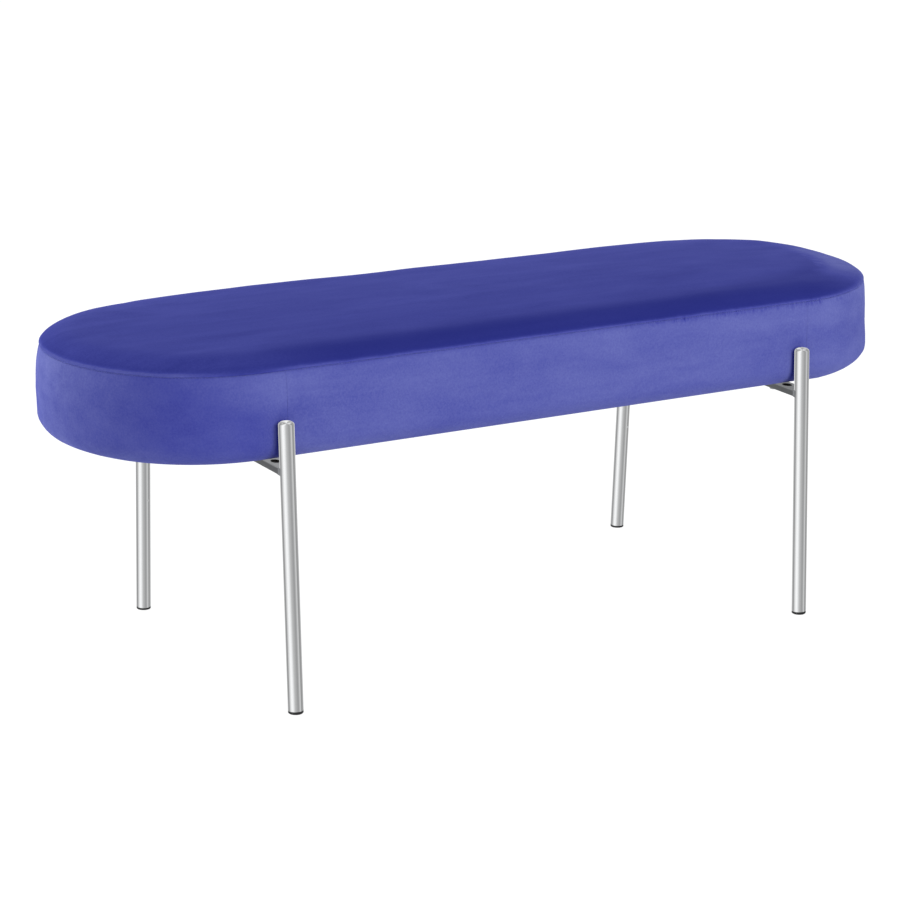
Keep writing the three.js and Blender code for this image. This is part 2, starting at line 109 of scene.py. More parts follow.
class BenchSizes(bpy.types.PropertyGroup):
    """Sizes of the visible detail."""

    seam_ridge: length("Seam ridge", "How far the top panel's edge stands proud above its seam", 0.9 * MM)
    seam_groove: length("Seam groove", "How deep the sewn line is drawn in", 0.8 * MM)
    upright_groove: length("Upright seam groove", "How deep the band's upright seams are drawn in", 0.15 * MM)
    cloth_thickness: length("Cloth thickness", "Velvet with its bonded backing", 2.3 * MM)
    surface_waves: length("Surface waves", "Height of the slow unevenness of the padding", 0.9 * MM)
    crown_fullness: length("Crown fullness", "How far the stuffing lifts the middle of the top", 2.0 * MM)
    shoulder_fullness: length("Shoulder fullness", "How far it lifts the roll, but for the softer right end", 4.4 * MM)
    band_fullness: length("Band fullness", "How far the stuffing pushes the band out", 1.0 * MM)
    left_fullness: length("Left end fullness", "How far the left end stands out past its plan", 5.0 * MM)
    right_fullness: length("Right end fullness", "How far the right end's lower edge stands out", 2.2 * MM)
    stitch_pitch: length("Stitch pitch", "From one seam stitch to the next", 3.6 * MM)
    stitch_length: length("Stitch length", "Thread showing in the seam", 2.5 * MM)
    thread_thickness: length("Thread thickness", "Bonded sewing thread", 0.5 * MM)
    staple_pitch: length("Staple pitch", "From one dust cover staple to the next", 42 * MM)
    staple_width: length("Staple width", "Crown of an upholstery staple", 10 * MM)
    sheet_sag: length("Dust cover sag", "How far the dust cover hangs between its staples", 3 * MM)
    leg_diameter: length("Leg diameter", "Outside of the chromed tube", 20 * MM)
    leg_wall: length("Leg wall", "Wall of the chromed tube", 1.5 * MM)
    leg_rounding: length("Leg top rounding", "Rise of the domed top", 5.0 * MM)
    vent_diameter: length("Vent hole", "Plating vent in the inner side of each leg", 3 * MM)
    glide_height: length("Glide height", "Black head of the glide under each leg", 3.6 * MM)
    rail_width: length("Rail width", "Flat tube that joins two legs", 25 * MM)
    rail_height: length("Rail height", "Flat tube that joins two legs", 8 * MM)
    drain_diameter: length("Drain hole", "Width of the hole in the rail's top beside each leg", 12 * MM)


class BenchColours(bpy.types.PropertyGroup):
    """Colours of the finishes."""

    # The velvet's nap attribute also lays painted shade and painted sheen between the deep and light colours
    velvet_deep: colour("Velvet, into the pile", "Where the pile stands open or towards the eye", "1e2472")
    velvet_middle: colour("Velvet, upright pile", "Where the pile neither opens nor lies flat", "3f4493")
    velvet_light: colour("Velvet, along the pile", "Where the pile lies away from the eye", "7a80ba")
    velvet_sheen: colour("Velvet sheen", "Light caught on the sides of the fibres", "a4aaff")
    thread: colour("Thread", "Bonded sewing thread", "666cb8")
    chrome: colour("Chrome", "Bright chromium plate", "e9eaeb")
    rail_plate: colour("Rail plate", "Duller plate inside the frame", "a3a5a8")
    bare_steel: colour("Bare steel", "Unplated inside of the tube", "1d1c1b")
    zinc: colour("Zinc", "Zinc-plated steel", "b4b6b3")
    glide: colour("Glide", "Black polypropylene", "1c1c1e")
    dust_cover: colour("Dust cover", "Black spun-bonded cloth", "19191b")
    soft_foam: colour("Soft foam", "Pale foam on top", "efe8d2")
    firm_foam: colour("Firm foam", "Firmer foam below", "dcd7c8")
    veneer: colour("Veneer", "Face of the plywood", "d3b384")
    floor: colour("Floor", "Plain pale floor", "f4f4f4")


# Nodes

# The kinds that the materials and the trees use most
MATH = "ShaderNodeMath"
MIX = "ShaderNodeMix"
NOISE = "ShaderNodeTexNoise"
VORONOI = "ShaderNodeTexVoronoi"
MAPPING = "ShaderNodeMapping"
MAP_RANGE = "ShaderNodeMapRange"
BUMP = "ShaderNodeBump"
SPLIT_XYZ = "ShaderNodeSeparateXYZ"
JOIN_XYZ = "ShaderNodeCombineXYZ"
BACKGROUND = "ShaderNodeBackground"
CYLINDER = "GeometryNodeMeshCylinder"
TRANSFORM = "GeometryNodeTransform"


def feed(tree, made, sockets):
    """Gives inputs of a node, by name or number, a value each or what feeds it: a socket, or a node's first live
    output. A Map Range takes its value at 0 and its ranges at 1 to 4; a colour Mix takes 0, 6 and 7."""
    for key, value in sockets.items():
        if isinstance(value, bpy.types.Node):
            value = next(socket for socket in value.outputs if socket.enabled)
        if isinstance(value, bpy.types.NodeSocket):
            tree.links.new(value, made.inputs[key])
        else:
            made.inputs[key].default_value = value


def node(tree, kind, sockets=None, **settings):
    """Adds a node with its own settings, and feeds its inputs."""
    made = tree.nodes.new(kind)
    for key, value in settings.items():
        setattr(made, key, value)
    feed(tree, made, sockets or {})
    return made


def new_material(name, surface):
    """A material with a Principled surface whose uniform values are set on its own sockets: its tree, that
    shader, and each point's place on the bench."""
    material = bpy.data.materials.new(name)
    material.use_nodes = True
    tree = material.node_tree
    tree.nodes.clear()
    shader = node(tree, "ShaderNodeBsdfPrincipled", surface)
    node(tree, "ShaderNodeOutputMaterial", {"Surface": shader})
    return tree, shader, node(tree, "ShaderNodeTexCoord").outputs["Object"]


def finish(name, make):
    """The material of that name, made on first use."""
    if name not in bpy.data.materials:
        make(name, bpy.context.scene.bench_colours)
    return bpy.data.materials[name]


def toned(shade, *shares):
    """A linear colour times one share, or times a share each for red, green and blue."""
    shares = shares * 3 if len(shares) == 1 else shares
    return tuple(part * share for part, share in zip(shade, shares)) + (1.0,)


def velvet(name, colours):
    """Cut-pile polyester velvet. Fibre ends look deep where the pile stands open and light where it lies flat, and the
    nap attribute that picks between them also carries painted shade, painted highlights and painted sheen; brush marks
    and small clumps break the colour, and the sheen brightens what is seen edge-on."""
    tree, shader, place = new_material(name, {
        "Roughness": 0.95, "Specular IOR Level": 0.0,
        "Sheen Weight": 0.15, "Sheen Roughness": 0.35, "Sheen Tint": tuple(colours.velvet_sheen)})
    # The nap attribute holds the pile's lean with painted shade, painted highlights and painted sheen mixed in
    nap = node(tree, "ShaderNodeAttribute", attribute_name="nap").outputs["Fac"]
    # Hand-sized brush marks, 60 to 150 mm
    brushed = node(tree, NOISE, {
        "Vector": node(tree, MAPPING, {0: place, "Scale": (0.55, 1.0, 1.3)}),
        "Scale": 13.0, "Detail": 3.0, "Roughness": 0.55, "Distortion": 0.7})
    # Streaks left along the length, 10 to 20 mm wide
    streaks = node(tree, NOISE, {
        "Vector": node(tree, MAPPING, {0: place, "Scale": (0.06, 1.0, 0.8)}),
        "Scale": 62.0, "Detail": 2.0, "Roughness": 0.6, "Distortion": 0.15})
    # Clumps of pile: the real ones are near 0.5 mm and are drawn at 2.5 mm so that they show
    clumps = node(tree, NOISE, {"Vector": place, "Scale": 400.0, "Detail": 2.0, "Roughness": 0.7})
    share = 1.0
    for source, amount in ((brushed, 0.9), (streaks, 0.45), (clumps, 0.75)):
        centred = node(tree, MATH, {0: source, 1: 0.5}, operation="SUBTRACT")
        share = node(tree, MATH, {0: centred, 1: amount, 2: share}, operation="MULTIPLY_ADD")
    lean = node(tree, MATH, {0: nap, 1: share}, operation="MULTIPLY", use_clamp=True)
    # Puckers 3 to 5 mm apart, drawn up by the stitches where the attribute says the cloth is gathered
    gathered = node(tree, "ShaderNodeAttribute", attribute_name="gather").outputs["Fac"]
    seam = node(tree, "ShaderNodeUVMap", uv_map="seam")
    scaled = node(tree, MAPPING, {0: seam, "Scale": (1.0, 0.3, 1.0)})
    gathers = node(tree, NOISE, {"Vector": scaled, "Scale": 250.0, "Detail": 2.0, "Roughness": 0.6})
    pucker = node(tree, MATH, {0: gathers, 1: gathered}, operation="MULTIPLY")
    drawn = node(tree, BUMP, {"Height": pucker, "Distance": 0.8 * MM, "Strength": 0.6})
    # The same stitches open the pile in short dark strokes
    strokes = node(tree, MAP_RANGE, {0: gathers, 1: 0.4, 2: 0.7, 3: 0.0, 4: 0.3})
    opened = node(tree, MATH, {0: strokes, 1: gathered}, operation="MULTIPLY")
    lean = node(tree, MATH, {0: lean, 1: opened}, operation="SUBTRACT", use_clamp=True)
    # From deep to middle over the first fifth of the lean, and on to light over the rest
    lower = node(tree, MAP_RANGE, {0: lean, 1: 0.0, 2: 0.2, 3: 0.0, 4: 1.0})
    upper = node(tree, MAP_RANGE, {0: lean, 1: 0.2, 2: 1.0, 3: 0.0, 4: 1.0})
    deep = {0: lower, 6: tuple(colours.velvet_deep), 7: tuple(colours.velvet_middle)}
    pile = {0: upper, 6: node(tree, MIX, deep, data_type="RGBA"), 7: tuple(colours.velvet_light)}
    fine = node(tree, BUMP, {"Height": clumps, "Distance": 0.35 * MM, "Strength": 0.55, "Normal": drawn})
    feed(tree, shader, {"Base Color": node(tree, MIX, pile, data_type="RGBA"), "Normal": fine})


def chrome(name, colours):
    """Chromium plate on drawn steel tube. It mirrors the room; slow waves of the drawn tube bend the lines a
    little, and a thin haze of wiping marks keeps the mirror from being perfect."""
    tree, shader, place = new_material(name, {"Metallic": 1.0})
    haze = node(tree, NOISE, {"Vector": place, "Scale": 90.0, "Detail": 4.0, "Roughness": 0.6})
    tone = node(tree, MIX, {0: haze, 6: toned(colours.chrome, 0.95), 7: tuple(colours.chrome)}, data_type="RGBA")
    rough = node(tree, MAP_RANGE, {0: haze, 1: 0.3, 2: 0.75, 3: 0.05, 4: 0.09})
    # Drawing leaves waves 30 to 60 mm long in the tube
    slow = node(tree, NOISE, {
        "Vector": node(tree, MAPPING, {0: place, "Scale": (1.0, 1.0, 0.25)}), "Scale": 70.0, "Detail": 1.0})
    bump = node(tree, BUMP, {"Height": slow, "Distance": 0.1 * MM, "Strength": 0.2})
    feed(tree, shader, {"Base Color": tone, "Roughness": rough, "Normal": bump})


def plated_rail(name, colours):
    """The same plate over unpolished tube: a soft grey glow instead of a mirror, with the fine lines of the mill
    running along the rail, and painted shade on its upright sides."""
    tree, shader, place = new_material(name, {"Metallic": 1.0})
    plate = colours.rail_plate
    grain = node(tree, NOISE, {
        "Vector": node(tree, MAPPING, {0: place, "Scale": (1.0, 0.03, 1.0)}), "Scale": 1400.0, "Detail": 3.0})
    blotch = node(tree, NOISE, {"Vector": place, "Scale": 45.0, "Detail": 3.0})
    tone = node(tree, MIX, {0: blotch, 6: toned(plate, 0.72), 7: tuple(plate)}, data_type="RGBA")
    # Painted shade: the upright sides are drawn a shade darker than the top
    upright = node(tree, SPLIT_XYZ, {0: node(tree, "ShaderNodeNewGeometry").outputs["Normal"]})
    flat = node(tree, MATH, {0: upright.outputs["Z"]}, operation="ABSOLUTE")
    share = node(tree, MAP_RANGE, {0: flat, 1: 0.2, 2: 0.7, 3: 0.25, 4: 0.0})
    tone = node(tree, MIX, {0: share, 6: tone, 7: (0.0, 0.0, 0.0, 1.0)}, data_type="RGBA")
    rough = node(tree, MAP_RANGE, {0: grain, 1: 0.3, 2: 0.7, 3: 0.34, 4: 0.5})
    bump = node(tree, BUMP, {"Height": grain, "Distance": 0.05 * MM, "Strength": 0.5})
    feed(tree, shader, {"Base Color": tone, "Roughness": rough, "Normal": bump})


def bare_steel(name, colours):
    """Inside of the tube: dark mill scale with a trace of plating bath stain, so that holes read black."""
    tree, shader, place = new_material(name, {"Roughness": 0.85, "Specular IOR Level": 0.1})
    scale = node(tree, NOISE, {"Vector": place, "Scale": 300.0, "Detail": 3.0})
    steel = colours.bare_steel
    tone = node(tree, MIX, {0: scale, 6: toned(steel, 0.5), 7: tuple(steel)}, data_type="RGBA")
    feed(tree, shader, {"Base Color": tone})


def zinc_plate(name, colours):
    """Zinc-plated steel: a greyish metal with a broken, slightly bluish bloom and soft highlights."""
    tree, shader, place = new_material(name, {"Metallic": 1.0})
    bloom = node(tree, NOISE, {"Vector": place, "Scale": 260.0, "Detail": 3.0})
    bluish = toned(colours.zinc, 0.66, 0.7, 0.78)
    tone = node(tree, MIX, {0: bloom, 6: bluish, 7: tuple(colours.zinc)}, data_type="RGBA")
    rough = node(tree, MAP_RANGE, {0: bloom, 1: 0.3, 2: 0.7, 3: 0.25, 4: 0.42})
    feed(tree, shader, {"Base Color": tone, "Roughness": rough})


def moulded_plastic(name, colours):
    """Injection-moulded polypropylene: near black, a dull skin with a fine spark-eroded grain, scuffed paler on
    the sole where it slides on the floor."""
    tree, shader, place = new_material(name, {"IOR": 1.49, "Specular IOR Level": 0.45})
    grain = node(tree, NOISE, {"Vector": place, "Scale": 1600.0, "Detail": 2.0})
    height = node(tree, SPLIT_XYZ, {0: place})
    worn = node(tree, MAP_RANGE, {0: height.outputs["Z"], 1: 0.0, 2: 0.8 * MM, 3: 0.5, 4: 0.0})
    scuff = node(tree, MATH, {0: worn, 1: grain}, operation="MULTIPLY")
    tone = node(tree, MIX, {0: scuff, 6: tuple(colours.glide), 7: linear("5b5b5e")}, data_type="RGBA")
    rough = node(tree, MAP_RANGE, {0: grain, 1: 0.3, 2: 0.7, 3: 0.42, 4: 0.6})
    bump = node(tree, BUMP, {"Height": grain, "Distance": 0.08 * MM, "Strength": 0.5})
    feed(tree, shader, {"Base Color": tone, "Roughness": rough, "Normal": bump})


def spun_bonded(name, colours):
    """Spun-bonded polypropylene cambric: thin black cloth with a grid of small bond points that catch the light
    as paler dots."""
    tree, shader, place = new_material(name, {
        "Roughness": 0.82, "Specular IOR Level": 0.3, "Sheen Weight": 0.15, "Sheen Roughness": 0.5})
    # Bond points: 1.1 mm apart in the real cloth, drawn at 2.2 mm so that they show
    flat = node(tree, MAPPING, {0: place, "Rotation": (0, 0, math.radians(45)), "Scale": (1, 1, 0)})
    points = node(tree, VORONOI, {"Vector": flat, "Scale": 450.0, "Randomness": 0.0})
    dots = node(tree, MAP_RANGE, {0: points, 1: 0.16, 2: 0.3, 3: 1.0, 4: 0.0})
    fibres = node(tree, NOISE, {"Vector": place, "Scale": 700.0, "Detail": 4.0, "Distortion": 1.5})
    light = node(tree, MATH, {0: dots, 1: fibres}, operation="MULTIPLY")
    tone = node(tree, MIX, {0: light, 6: tuple(colours.dust_cover), 7: linear("4a4a4d")}, data_type="RGBA")
    height = node(tree, MATH, {0: fibres, 1: dots}, operation="SUBTRACT")
    bump = node(tree, BUMP, {"Height": height, "Distance": 0.12 * MM, "Strength": 0.6})
    feed(tree, shader, {"Base Color": tone, "Normal": bump})


def open_foam(name, base, cells):
    """Open-cell polyurethane foam: matt, pale, pricked all over with pores that are darkened with painted shade, and a
    little yellower in places.
    """
    tree, shader, place = new_material(name, {"Roughness": 0.95, "Specular IOR Level": 0.2})
    pores = node(tree, VORONOI, {"Vector": place, "Scale": cells})
    pits = node(tree, MAP_RANGE, {0: pores, 1: 0.0, 2: 0.5, 3: 0.0, 4: 1.0})
    age = node(tree, NOISE, {"Vector": place, "Scale": 9.0, "Detail": 3.0})
    tint = node(tree, MIX, {0: age, 6: tuple(base), 7: toned(base, 1.0, 0.95, 0.82)}, data_type="RGBA")
    # Painted shade in the pores
    tone = node(tree, MIX, {0: pits, 6: toned(base, 0.45), 7: tint}, data_type="RGBA")
    bump = node(tree, BUMP, {"Height": pits, "Distance": 0.6 * MM, "Strength": 0.7})
    feed(tree, shader, {"Base Color": tone, "Normal": bump})


def soft_foam(name, colours):
    """Soft topper foam, whose pores are near 0.7 mm and are drawn at 1.6 mm so that they show."""
    open_foam(name, colours.soft_foam, 620.0)


def firm_foam(name, colours):
    """Firm core foam, whose pores are near 0.4 mm and are drawn at 1.1 mm so that they show."""
    open_foam(name, colours.firm_foam, 900.0)


def plywood(name, colours):
    """Rotary-cut plywood: long grain on the faces, and the edge in thin plies that turn light and dark by
    turns as their grain crosses."""
    tree, shader, place = new_material(name, {"Roughness": 0.72, "Specular IOR Level": 0.3})
    veneers = {6: tuple(colours.veneer), 7: toned(colours.veneer, 0.62, 0.55, 0.45)}
    # Grain 2 to 6 mm wide and some 150 mm long
    grain = node(tree, NOISE, {
        "Vector": node(tree, MAPPING, {0: place, "Scale": (0.05, 1.0, 1.0)}),
        "Scale": 240.0, "Detail": 5.0, "Roughness": 0.65, "Distortion": 0.4})
    figure = node(tree, MAP_RANGE, {0: grain, 1: 0.35, 2: 0.75, 3: 0.0, 4: 0.8})
    face = node(tree, MIX, {0: figure, **veneers}, data_type="RGBA")
    # Eleven plies in the board's 15 mm
    height = node(tree, SPLIT_XYZ, {0: place})
    from_low = node(tree, MATH, {0: height.outputs["Z"], 1: BOARD_LOW}, operation="SUBTRACT")
    ply_turn = 11 * math.pi / (BOARD_TOP - BOARD_LOW)
    turns = node(tree, MATH, {0: from_low, 1: ply_turn}, operation="MULTIPLY")
    wave = node(tree, MATH, {0: turns}, operation="SINE")
    plies = node(tree, MAP_RANGE, {0: wave, 1: -0.25, 2: 0.25, 3: 0.0, 4: 1.0})
    edge = node(tree, MIX, {0: plies, **veneers}, data_type="RGBA")
    upright = node(tree, SPLIT_XYZ, {0: node(tree, "ShaderNodeNewGeometry").outputs["Normal"]})
    flatness = node(tree, MATH, {0: upright.outputs["Z"]}, operation="ABSOLUTE")
    tone = node(tree, MIX, {0: flatness, 6: edge, 7: face}, data_type="RGBA")
    bump = node(tree, BUMP, {"Height": grain, "Distance": 0.15 * MM, "Strength": 0.4})
    feed(tree, shader, {"Base Color": tone, "Normal": bump})


def sewing_thread(name, colours):
    """Bonded polyester thread: two plies twisted together, lighter and darker by turns."""
    tree, shader, place = new_material(name, {"Roughness": 0.9, "Specular IOR Level": 0.0})
    # Twist: 0.6 mm in the real thread, drawn at 1.2 mm
    twist = node(tree, NOISE, {"Vector": place, "Scale": 850.0, "Detail": 1.0})
    thread = colours.thread
    tone = node(tree, MIX, {0: twist, 6: toned(thread, 0.7), 7: toned(thread, 1.3)}, data_type="RGBA")
    feed(tree, shader, {"Base Color": tone})


# Meshes

def linked(name, data):
    """A new object in the scene."""
    made = bpy.data.objects.new(name, data)
    bpy.context.scene.collection.objects.link(made)
    return made


def piece(name, mesh, material, replaces=()):
    """Links a finished mesh into the scene as a piece that rides with the bench. The bright metal is shown
    mirroring the room alone, so nothing else appears in it."""
    made = linked(name, mesh)
    made.visible_glossy = False
    mesh.materials.clear()
    mesh.materials.append(material)
    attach(made, BODY)
    if replaces:
        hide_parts(*replaces)
    return made


def grid_mesh(name, points, closed=False, seam=None, pile=None):
    """A smooth mesh over rows and columns of points; closed joins the last column to the first.
    seam holds each point's (metres along the seam, metres from it), pile the named values its pile needs."""
    rows, columns = points.shape[:2]
    index = np.arange(rows * columns).reshape(rows, columns)
    if closed:
        index = np.concatenate([index, index[:, :1]], axis=1)
    corners = [index[:-1, :-1], index[:-1, 1:], index[1:, 1:], index[1:, :-1]]
    faces = np.stack(corners, axis=-1).reshape(-1, 4)
    mesh = bpy.data.meshes.new(name)
    mesh.from_pydata(points.reshape(-1, 3).tolist(), [], faces.tolist())
    mesh.polygons.foreach_set("use_smooth", np.ones(len(faces), dtype=bool))
    if seam is not None:
        if closed:
            seam = np.concatenate([seam, seam[:, :1] + np.array([perimeter(), 0.0])], axis=1)
        corners = [seam[:-1, :-1], seam[:-1, 1:], seam[1:, 1:], seam[1:, :-1]]
        uv = mesh.uv_layers.new(name="seam")
        uv.data.foreach_set("uv", np.stack(corners, axis=2).reshape(-1).astype(np.float32))
    for label, values in (pile or {}).items():
        kept = mesh.attributes.new(label, "FLOAT", "POINT")
        kept.data.foreach_set("value", values.reshape(-1).astype(np.float32))
    return mesh


def weld(mesh, distance=0.005 * MM):
    """Merges points that fell together, such as where the inner loops of a plan meet."""
    work = bmesh.new()
    work.from_mesh(mesh)
    bmesh.ops.remove_doubles(work, verts=work.verts, dist=distance)
    bmesh.ops.dissolve_degenerate(work, edges=work.edges, dist=distance)
    work.to_mesh(mesh)
    work.free()
    return mesh


def solid_mesh(name, work, smooth_under=40):
    """Turns a bmesh into a mesh that is smooth but for edges sharper than smooth_under degrees."""
    bmesh.ops.recalc_face_normals(work, faces=work.faces)
    for face in work.faces:
        face.smooth = True
    for edge in work.edges:
        edge.smooth = len(edge.link_faces) == 2 and edge.calc_face_angle(0) < math.radians(smooth_under)
    mesh = bpy.data.meshes.new(name)
    work.to_mesh(mesh)
    work.free()
    return mesh


def lathe(profile, sides=48):
    """A bmesh turned round the upright axis from (radius, height) pairs; ends on the axis are closed."""
    work = bmesh.new()
    rings = []
    for radius, height in profile:
        if radius < 1e-7:
            rings.append([work.verts.new((0, 0, height))])
            continue
        turn = [2 * math.pi * k / sides for k in range(sides)]
        rings.append([work.verts.new((radius * math.cos(a), radius * math.sin(a), height)) for a in turn])
    for low, high in zip(rings, rings[1:]):
        for k in range(sides):
            after = k + 1
            corners = [low[k % len(low)], low[after % len(low)], high[after % len(high)], high[k % len(high)]]
            unique = list(dict.fromkeys(corners))
            if len(unique) > 2:
                work.faces.new(unique)
    return work


def rounded(profile, radius, steps=4):
    """A profile of (radius, height) pairs with each inner corner rounded."""
    points = [Vector(p) for p in profile]
    result = [points[0]]
    for before, corner, after in zip(points, points[1:], points[2:]):
        there, back = (before - corner), (after - corner)
        reach = min(radius, there.length / 2, back.length / 2)
        start, end = corner + there.normalized() * reach, corner + back.normalized() * reach
        for k in range(steps + 1):
            t = k / steps
            result.append(start * (1 - t) ** 2 + corner * 2 * t * (1 - t) + end * t ** 2)
    result.append(points[-1])
    return [tuple(p) for p in result]


def loft(work, sections):
    """Skins closed sections with equally many corners, and caps both ends."""
    loops = [[work.verts.new(corner) for corner in section] for section in sections]
    for low, high in zip(loops, loops[1:]):
        for k in range(len(low)):
            after = (k + 1) % len(low)
            work.faces.new([low[k], low[after], high[after], high[k]])
    work.faces.new(loops[0][::-1])
    work.faces.new(loops[-1])
    return work


def cut(name, body, tools):
    """Subtracts tool meshes from a body mesh and returns what is left as a plain mesh."""
    holder = linked(name, body)
    helpers = [linked(tool.name, tool) for tool in tools]
    for helper in helpers:
        step = holder.modifiers.new(helper.name, "BOOLEAN")
        step.operation, step.solver, step.object = "DIFFERENCE", "EXACT", helper
    work = bmesh.new()
    work.from_mesh(plain(holder))
    for helper in helpers:
        bpy.data.objects.remove(helper)
    bmesh.ops.remove_doubles(work, verts=work.verts, dist=0.002 * MM)
    return solid_mesh(name, work)


# The cushion's plan: a stadium, measured round its widest line from the left end of the front side

def perimeter():
    return 4 * HALF_STRAIGHT + 2 * math.pi * END_RADIUS


def plan(along, inset):
    """Points of the plan, inset behind the widest line, and the outward directions there."""
    side, end = 2 * HALF_STRAIGHT, math.pi * END_RADIUS
    s = np.mod(along, perimeter())
    quarter = math.pi / 2
    parts = [s < side, s < side + end, s < 2 * side + end]
    angle = np.select(
        parts, [-quarter + 0 * s, -quarter + (s - side) / END_RADIUS, quarter + 0 * s],
        quarter + (s - 2 * side - end) / END_RADIUS)
    centre = np.select(
        parts, [s - HALF_STRAIGHT, HALF_STRAIGHT + 0 * s, HALF_STRAIGHT - (s - side - end)],
        -HALF_STRAIGHT + 0 * s)
    outward = np.stack([np.cos(angle), np.sin(angle)], axis=-1)
    reach = (END_RADIUS - inset)[..., None]
    return np.stack([centre, 0 * s], axis=-1) + outward * reach, outward


def swept(along, profile):
    """A grid of points: one row for each (inset, height) of the profile, one column for each place along."""
    insets = np.array([p[0] for p in profile])[:, None] + 0 * along[None, :]
    heights = np.array([p[1] for p in profile])[:, None] + 0 * along[None, :]
    flat, outward = plan(along[None, :] + 0 * insets, insets)
    return np.concatenate([flat, heights[..., None]], axis=-1), outward


def walked(profile):
    """How far each profile point is from the first, along the profile."""
    steps = np.linalg.norm(np.diff(np.array(profile), axis=0), axis=1)
    return np.concatenate([[0.0], np.cumsum(steps)])


def facing(points, closed):
    """Outward directions of a grid."""
    if closed:
        across = np.roll(points, -1, axis=1) - np.roll(points, 1, axis=1)
    else:
        across = np.gradient(points, axis=1)
    down = np.gradient(points, axis=0)
    normal = np.cross(across, down)
    size = np.linalg.norm(normal, axis=-1, keepdims=True)
    return normal / np.maximum(size, 1e-12)


def waves(points, size, seed, octaves=2):
    """Smooth unevenness between about -1 and 1, with features of that size."""
    shift = Vector((seed * 3.1, seed * 1.7, seed * 2.3))
    flat = points.reshape(-1, 3) / size
    values = [noise.fractal(Vector(p) + shift, 0.8, 2.0, octaves) for p in flat]
    return np.array(values).reshape(points.shape[:-1])


def crown_profile(sizes):
    """The top panel's section, from inside its seam over the ridge and the roll to the middle line."""
    roll_height = SEAT_TOP - SEAM - DOME_RISE
    profile = []
    heights = [0.0, 0.25, 0.5, 0.8, 1.15, 1.55, 2.0, 2.5, 3.0, 3.6, 4.3, 5.1, 6.0, 7.0, 8.1, 9.3, 10.5, 11.7]
    for height in heights + [12.7, 13.5, roll_height / MM]:
        h = height * MM
        angle = math.asin(min(h / roll_height, 1.0))
        inset = PULL_IN + ROLL_WIDTH * (1 - math.cos(angle))
        ridge = sizes.seam_ridge * math.exp(-((h - 2.2 * MM) / (1.5 * MM)) ** 2)
        tuck = sizes.seam_groove * max(0.0, 1 - h / (1.2 * MM)) ** 1.7
        profile.append((inset - ridge + tuck, SEAM + h))
    start = profile[-1][0]
    for step in range(1, 25):
        profile.append((start + (END_RADIUS - start) * step / 24, SEAM + roll_height))
    across = END_RADIUS - PULL_IN
    return [(inset, height + max(0.0, DOME_RISE * (1 - ((END_RADIUS - inset) / across) ** 2)))
            for inset, height in profile]


def band_profile(sizes):
    """The band's section, from inside the seam, out to full, down, round the under edge and in along the hem."""
    profile = []
    for drop in (0.0, 0.25, 0.5, 0.8, 1.15, 1.6, 2.2, 3.0, 4.0, 5.5, 7.5, 10, 13, 17, 21, 25, 30, 35, 40, 45):
        d = drop * MM
        tuck = sizes.seam_groove * max(0.0, 1 - d / (1.2 * MM)) ** 1.7
        profile.append((PULL_IN * (1 - d / PULL_IN_HEIGHT) ** 3 + tuck, SEAM - 0.03 * MM - d))
    low = UNDERSIDE + UNDER_EDGE
    high = profile[-1][1]
    for step in range(1, 25):
        profile.append((0.0, high + (low - high) * step / 24))
    for step in range(1, 15):
        angle = math.pi / 2 * step / 14
        profile.append((UNDER_EDGE * (1 - math.cos(angle)), low - UNDER_EDGE * math.sin(angle)))
    for step in range(1, 5):
        profile.append((UNDER_EDGE + HEM * step / 4, UNDERSIDE))
    return profile


def around(spacing):
    """Places round the whole plan, the same on both straight sides so that they meet along the middle."""
    side, end = 2 * HALF_STRAIGHT, math.pi * END_RADIUS
    straight = np.arange(0, side, side / round(side / spacing))[:round(side / spacing)]
    curve = np.arange(0, end, end / round(end / spacing))[:round(end / spacing)]
    return np.concatenate([straight, side + curve, side + end + straight, 2 * side + end + curve])


def ramp(value, start, over):
    """Rises evenly from 0 at start to 1 at start + over, which may lie below it."""
    return np.clip((value - start) / over, 0, 1)


def bell(distance, width):
    return np.exp(-(distance / width) ** 2)


def shelf(value, limit, width):
    """1 up to a limit, and falling away past it."""
    return bell(np.maximum(value - limit, 0), width)


def ends_filled(points, sizes):
    """How the stuffing of the two ends moves points of the cushion. The left end stands out past its plan, most
    towards the rear; the right end is slack at half height and full at its lower edge."""
    # For each end: its side, where round it and how widely it is filled, in degrees, and the share of its
    # fullness at each height above the underside, in millimetres
    fillings = (
        (-1, 25, 45, ((0, 0), (8, 0.3), (24, 0.9), (60, 1.0), (96, 0.75), (116, 0.5), (122, 0.85), (133, 1.0))),
        (1, -30, 42, ((0, 0), (8, 0.8), (18, 1.3), (34, 0.3), (60, -0.9), (96, -1.0), (116, -0.2), (133, -0.9))))
    moved = np.zeros_like(points)
    for side, turned, wide, levels in fillings:
        reach = points[..., :2] - np.array([side * HALF_STRAIGHT, 0.0])
        far = np.maximum(np.linalg.norm(reach, axis=-1), 1e-9)
        turn = np.degrees(np.arctan2(reach[..., 1], side * reach[..., 0]))
        share = bell(turn - turned, wide) * ramp(far, END_RADIUS / 3, END_RADIUS / 3)
        places, shares = zip(*levels)
        full = sizes.left_fullness if side < 0 else sizes.right_fullness
        push = full * share * np.interp((points[..., 2] - UNDERSIDE) / MM, places, shares)
        moved[..., :2] += reach / far[..., None] * push[..., None]
    return moved


def drawn_up(points, inset):
    """How far the under edge of the cushion stands above its even height: drawn up a little along the front and
    more on the left, and hanging fuller round the right end."""
    x, z = points[..., 0], points[..., 2]
    rise = 1.1 + 1.1 * bell(x - LEFT_SEAM + 60 * MM, 90 * MM) - 2.2 * ramp(x, RIGHT_SEAM, 40 * MM)
    clear_of_board = ramp(inset, UNDER_EDGE, -6 * MM)
    return rise * MM * bell(inset - 17 * MM, 9 * MM) * clear_of_board * (z < UNDERSIDE + UNDER_EDGE)


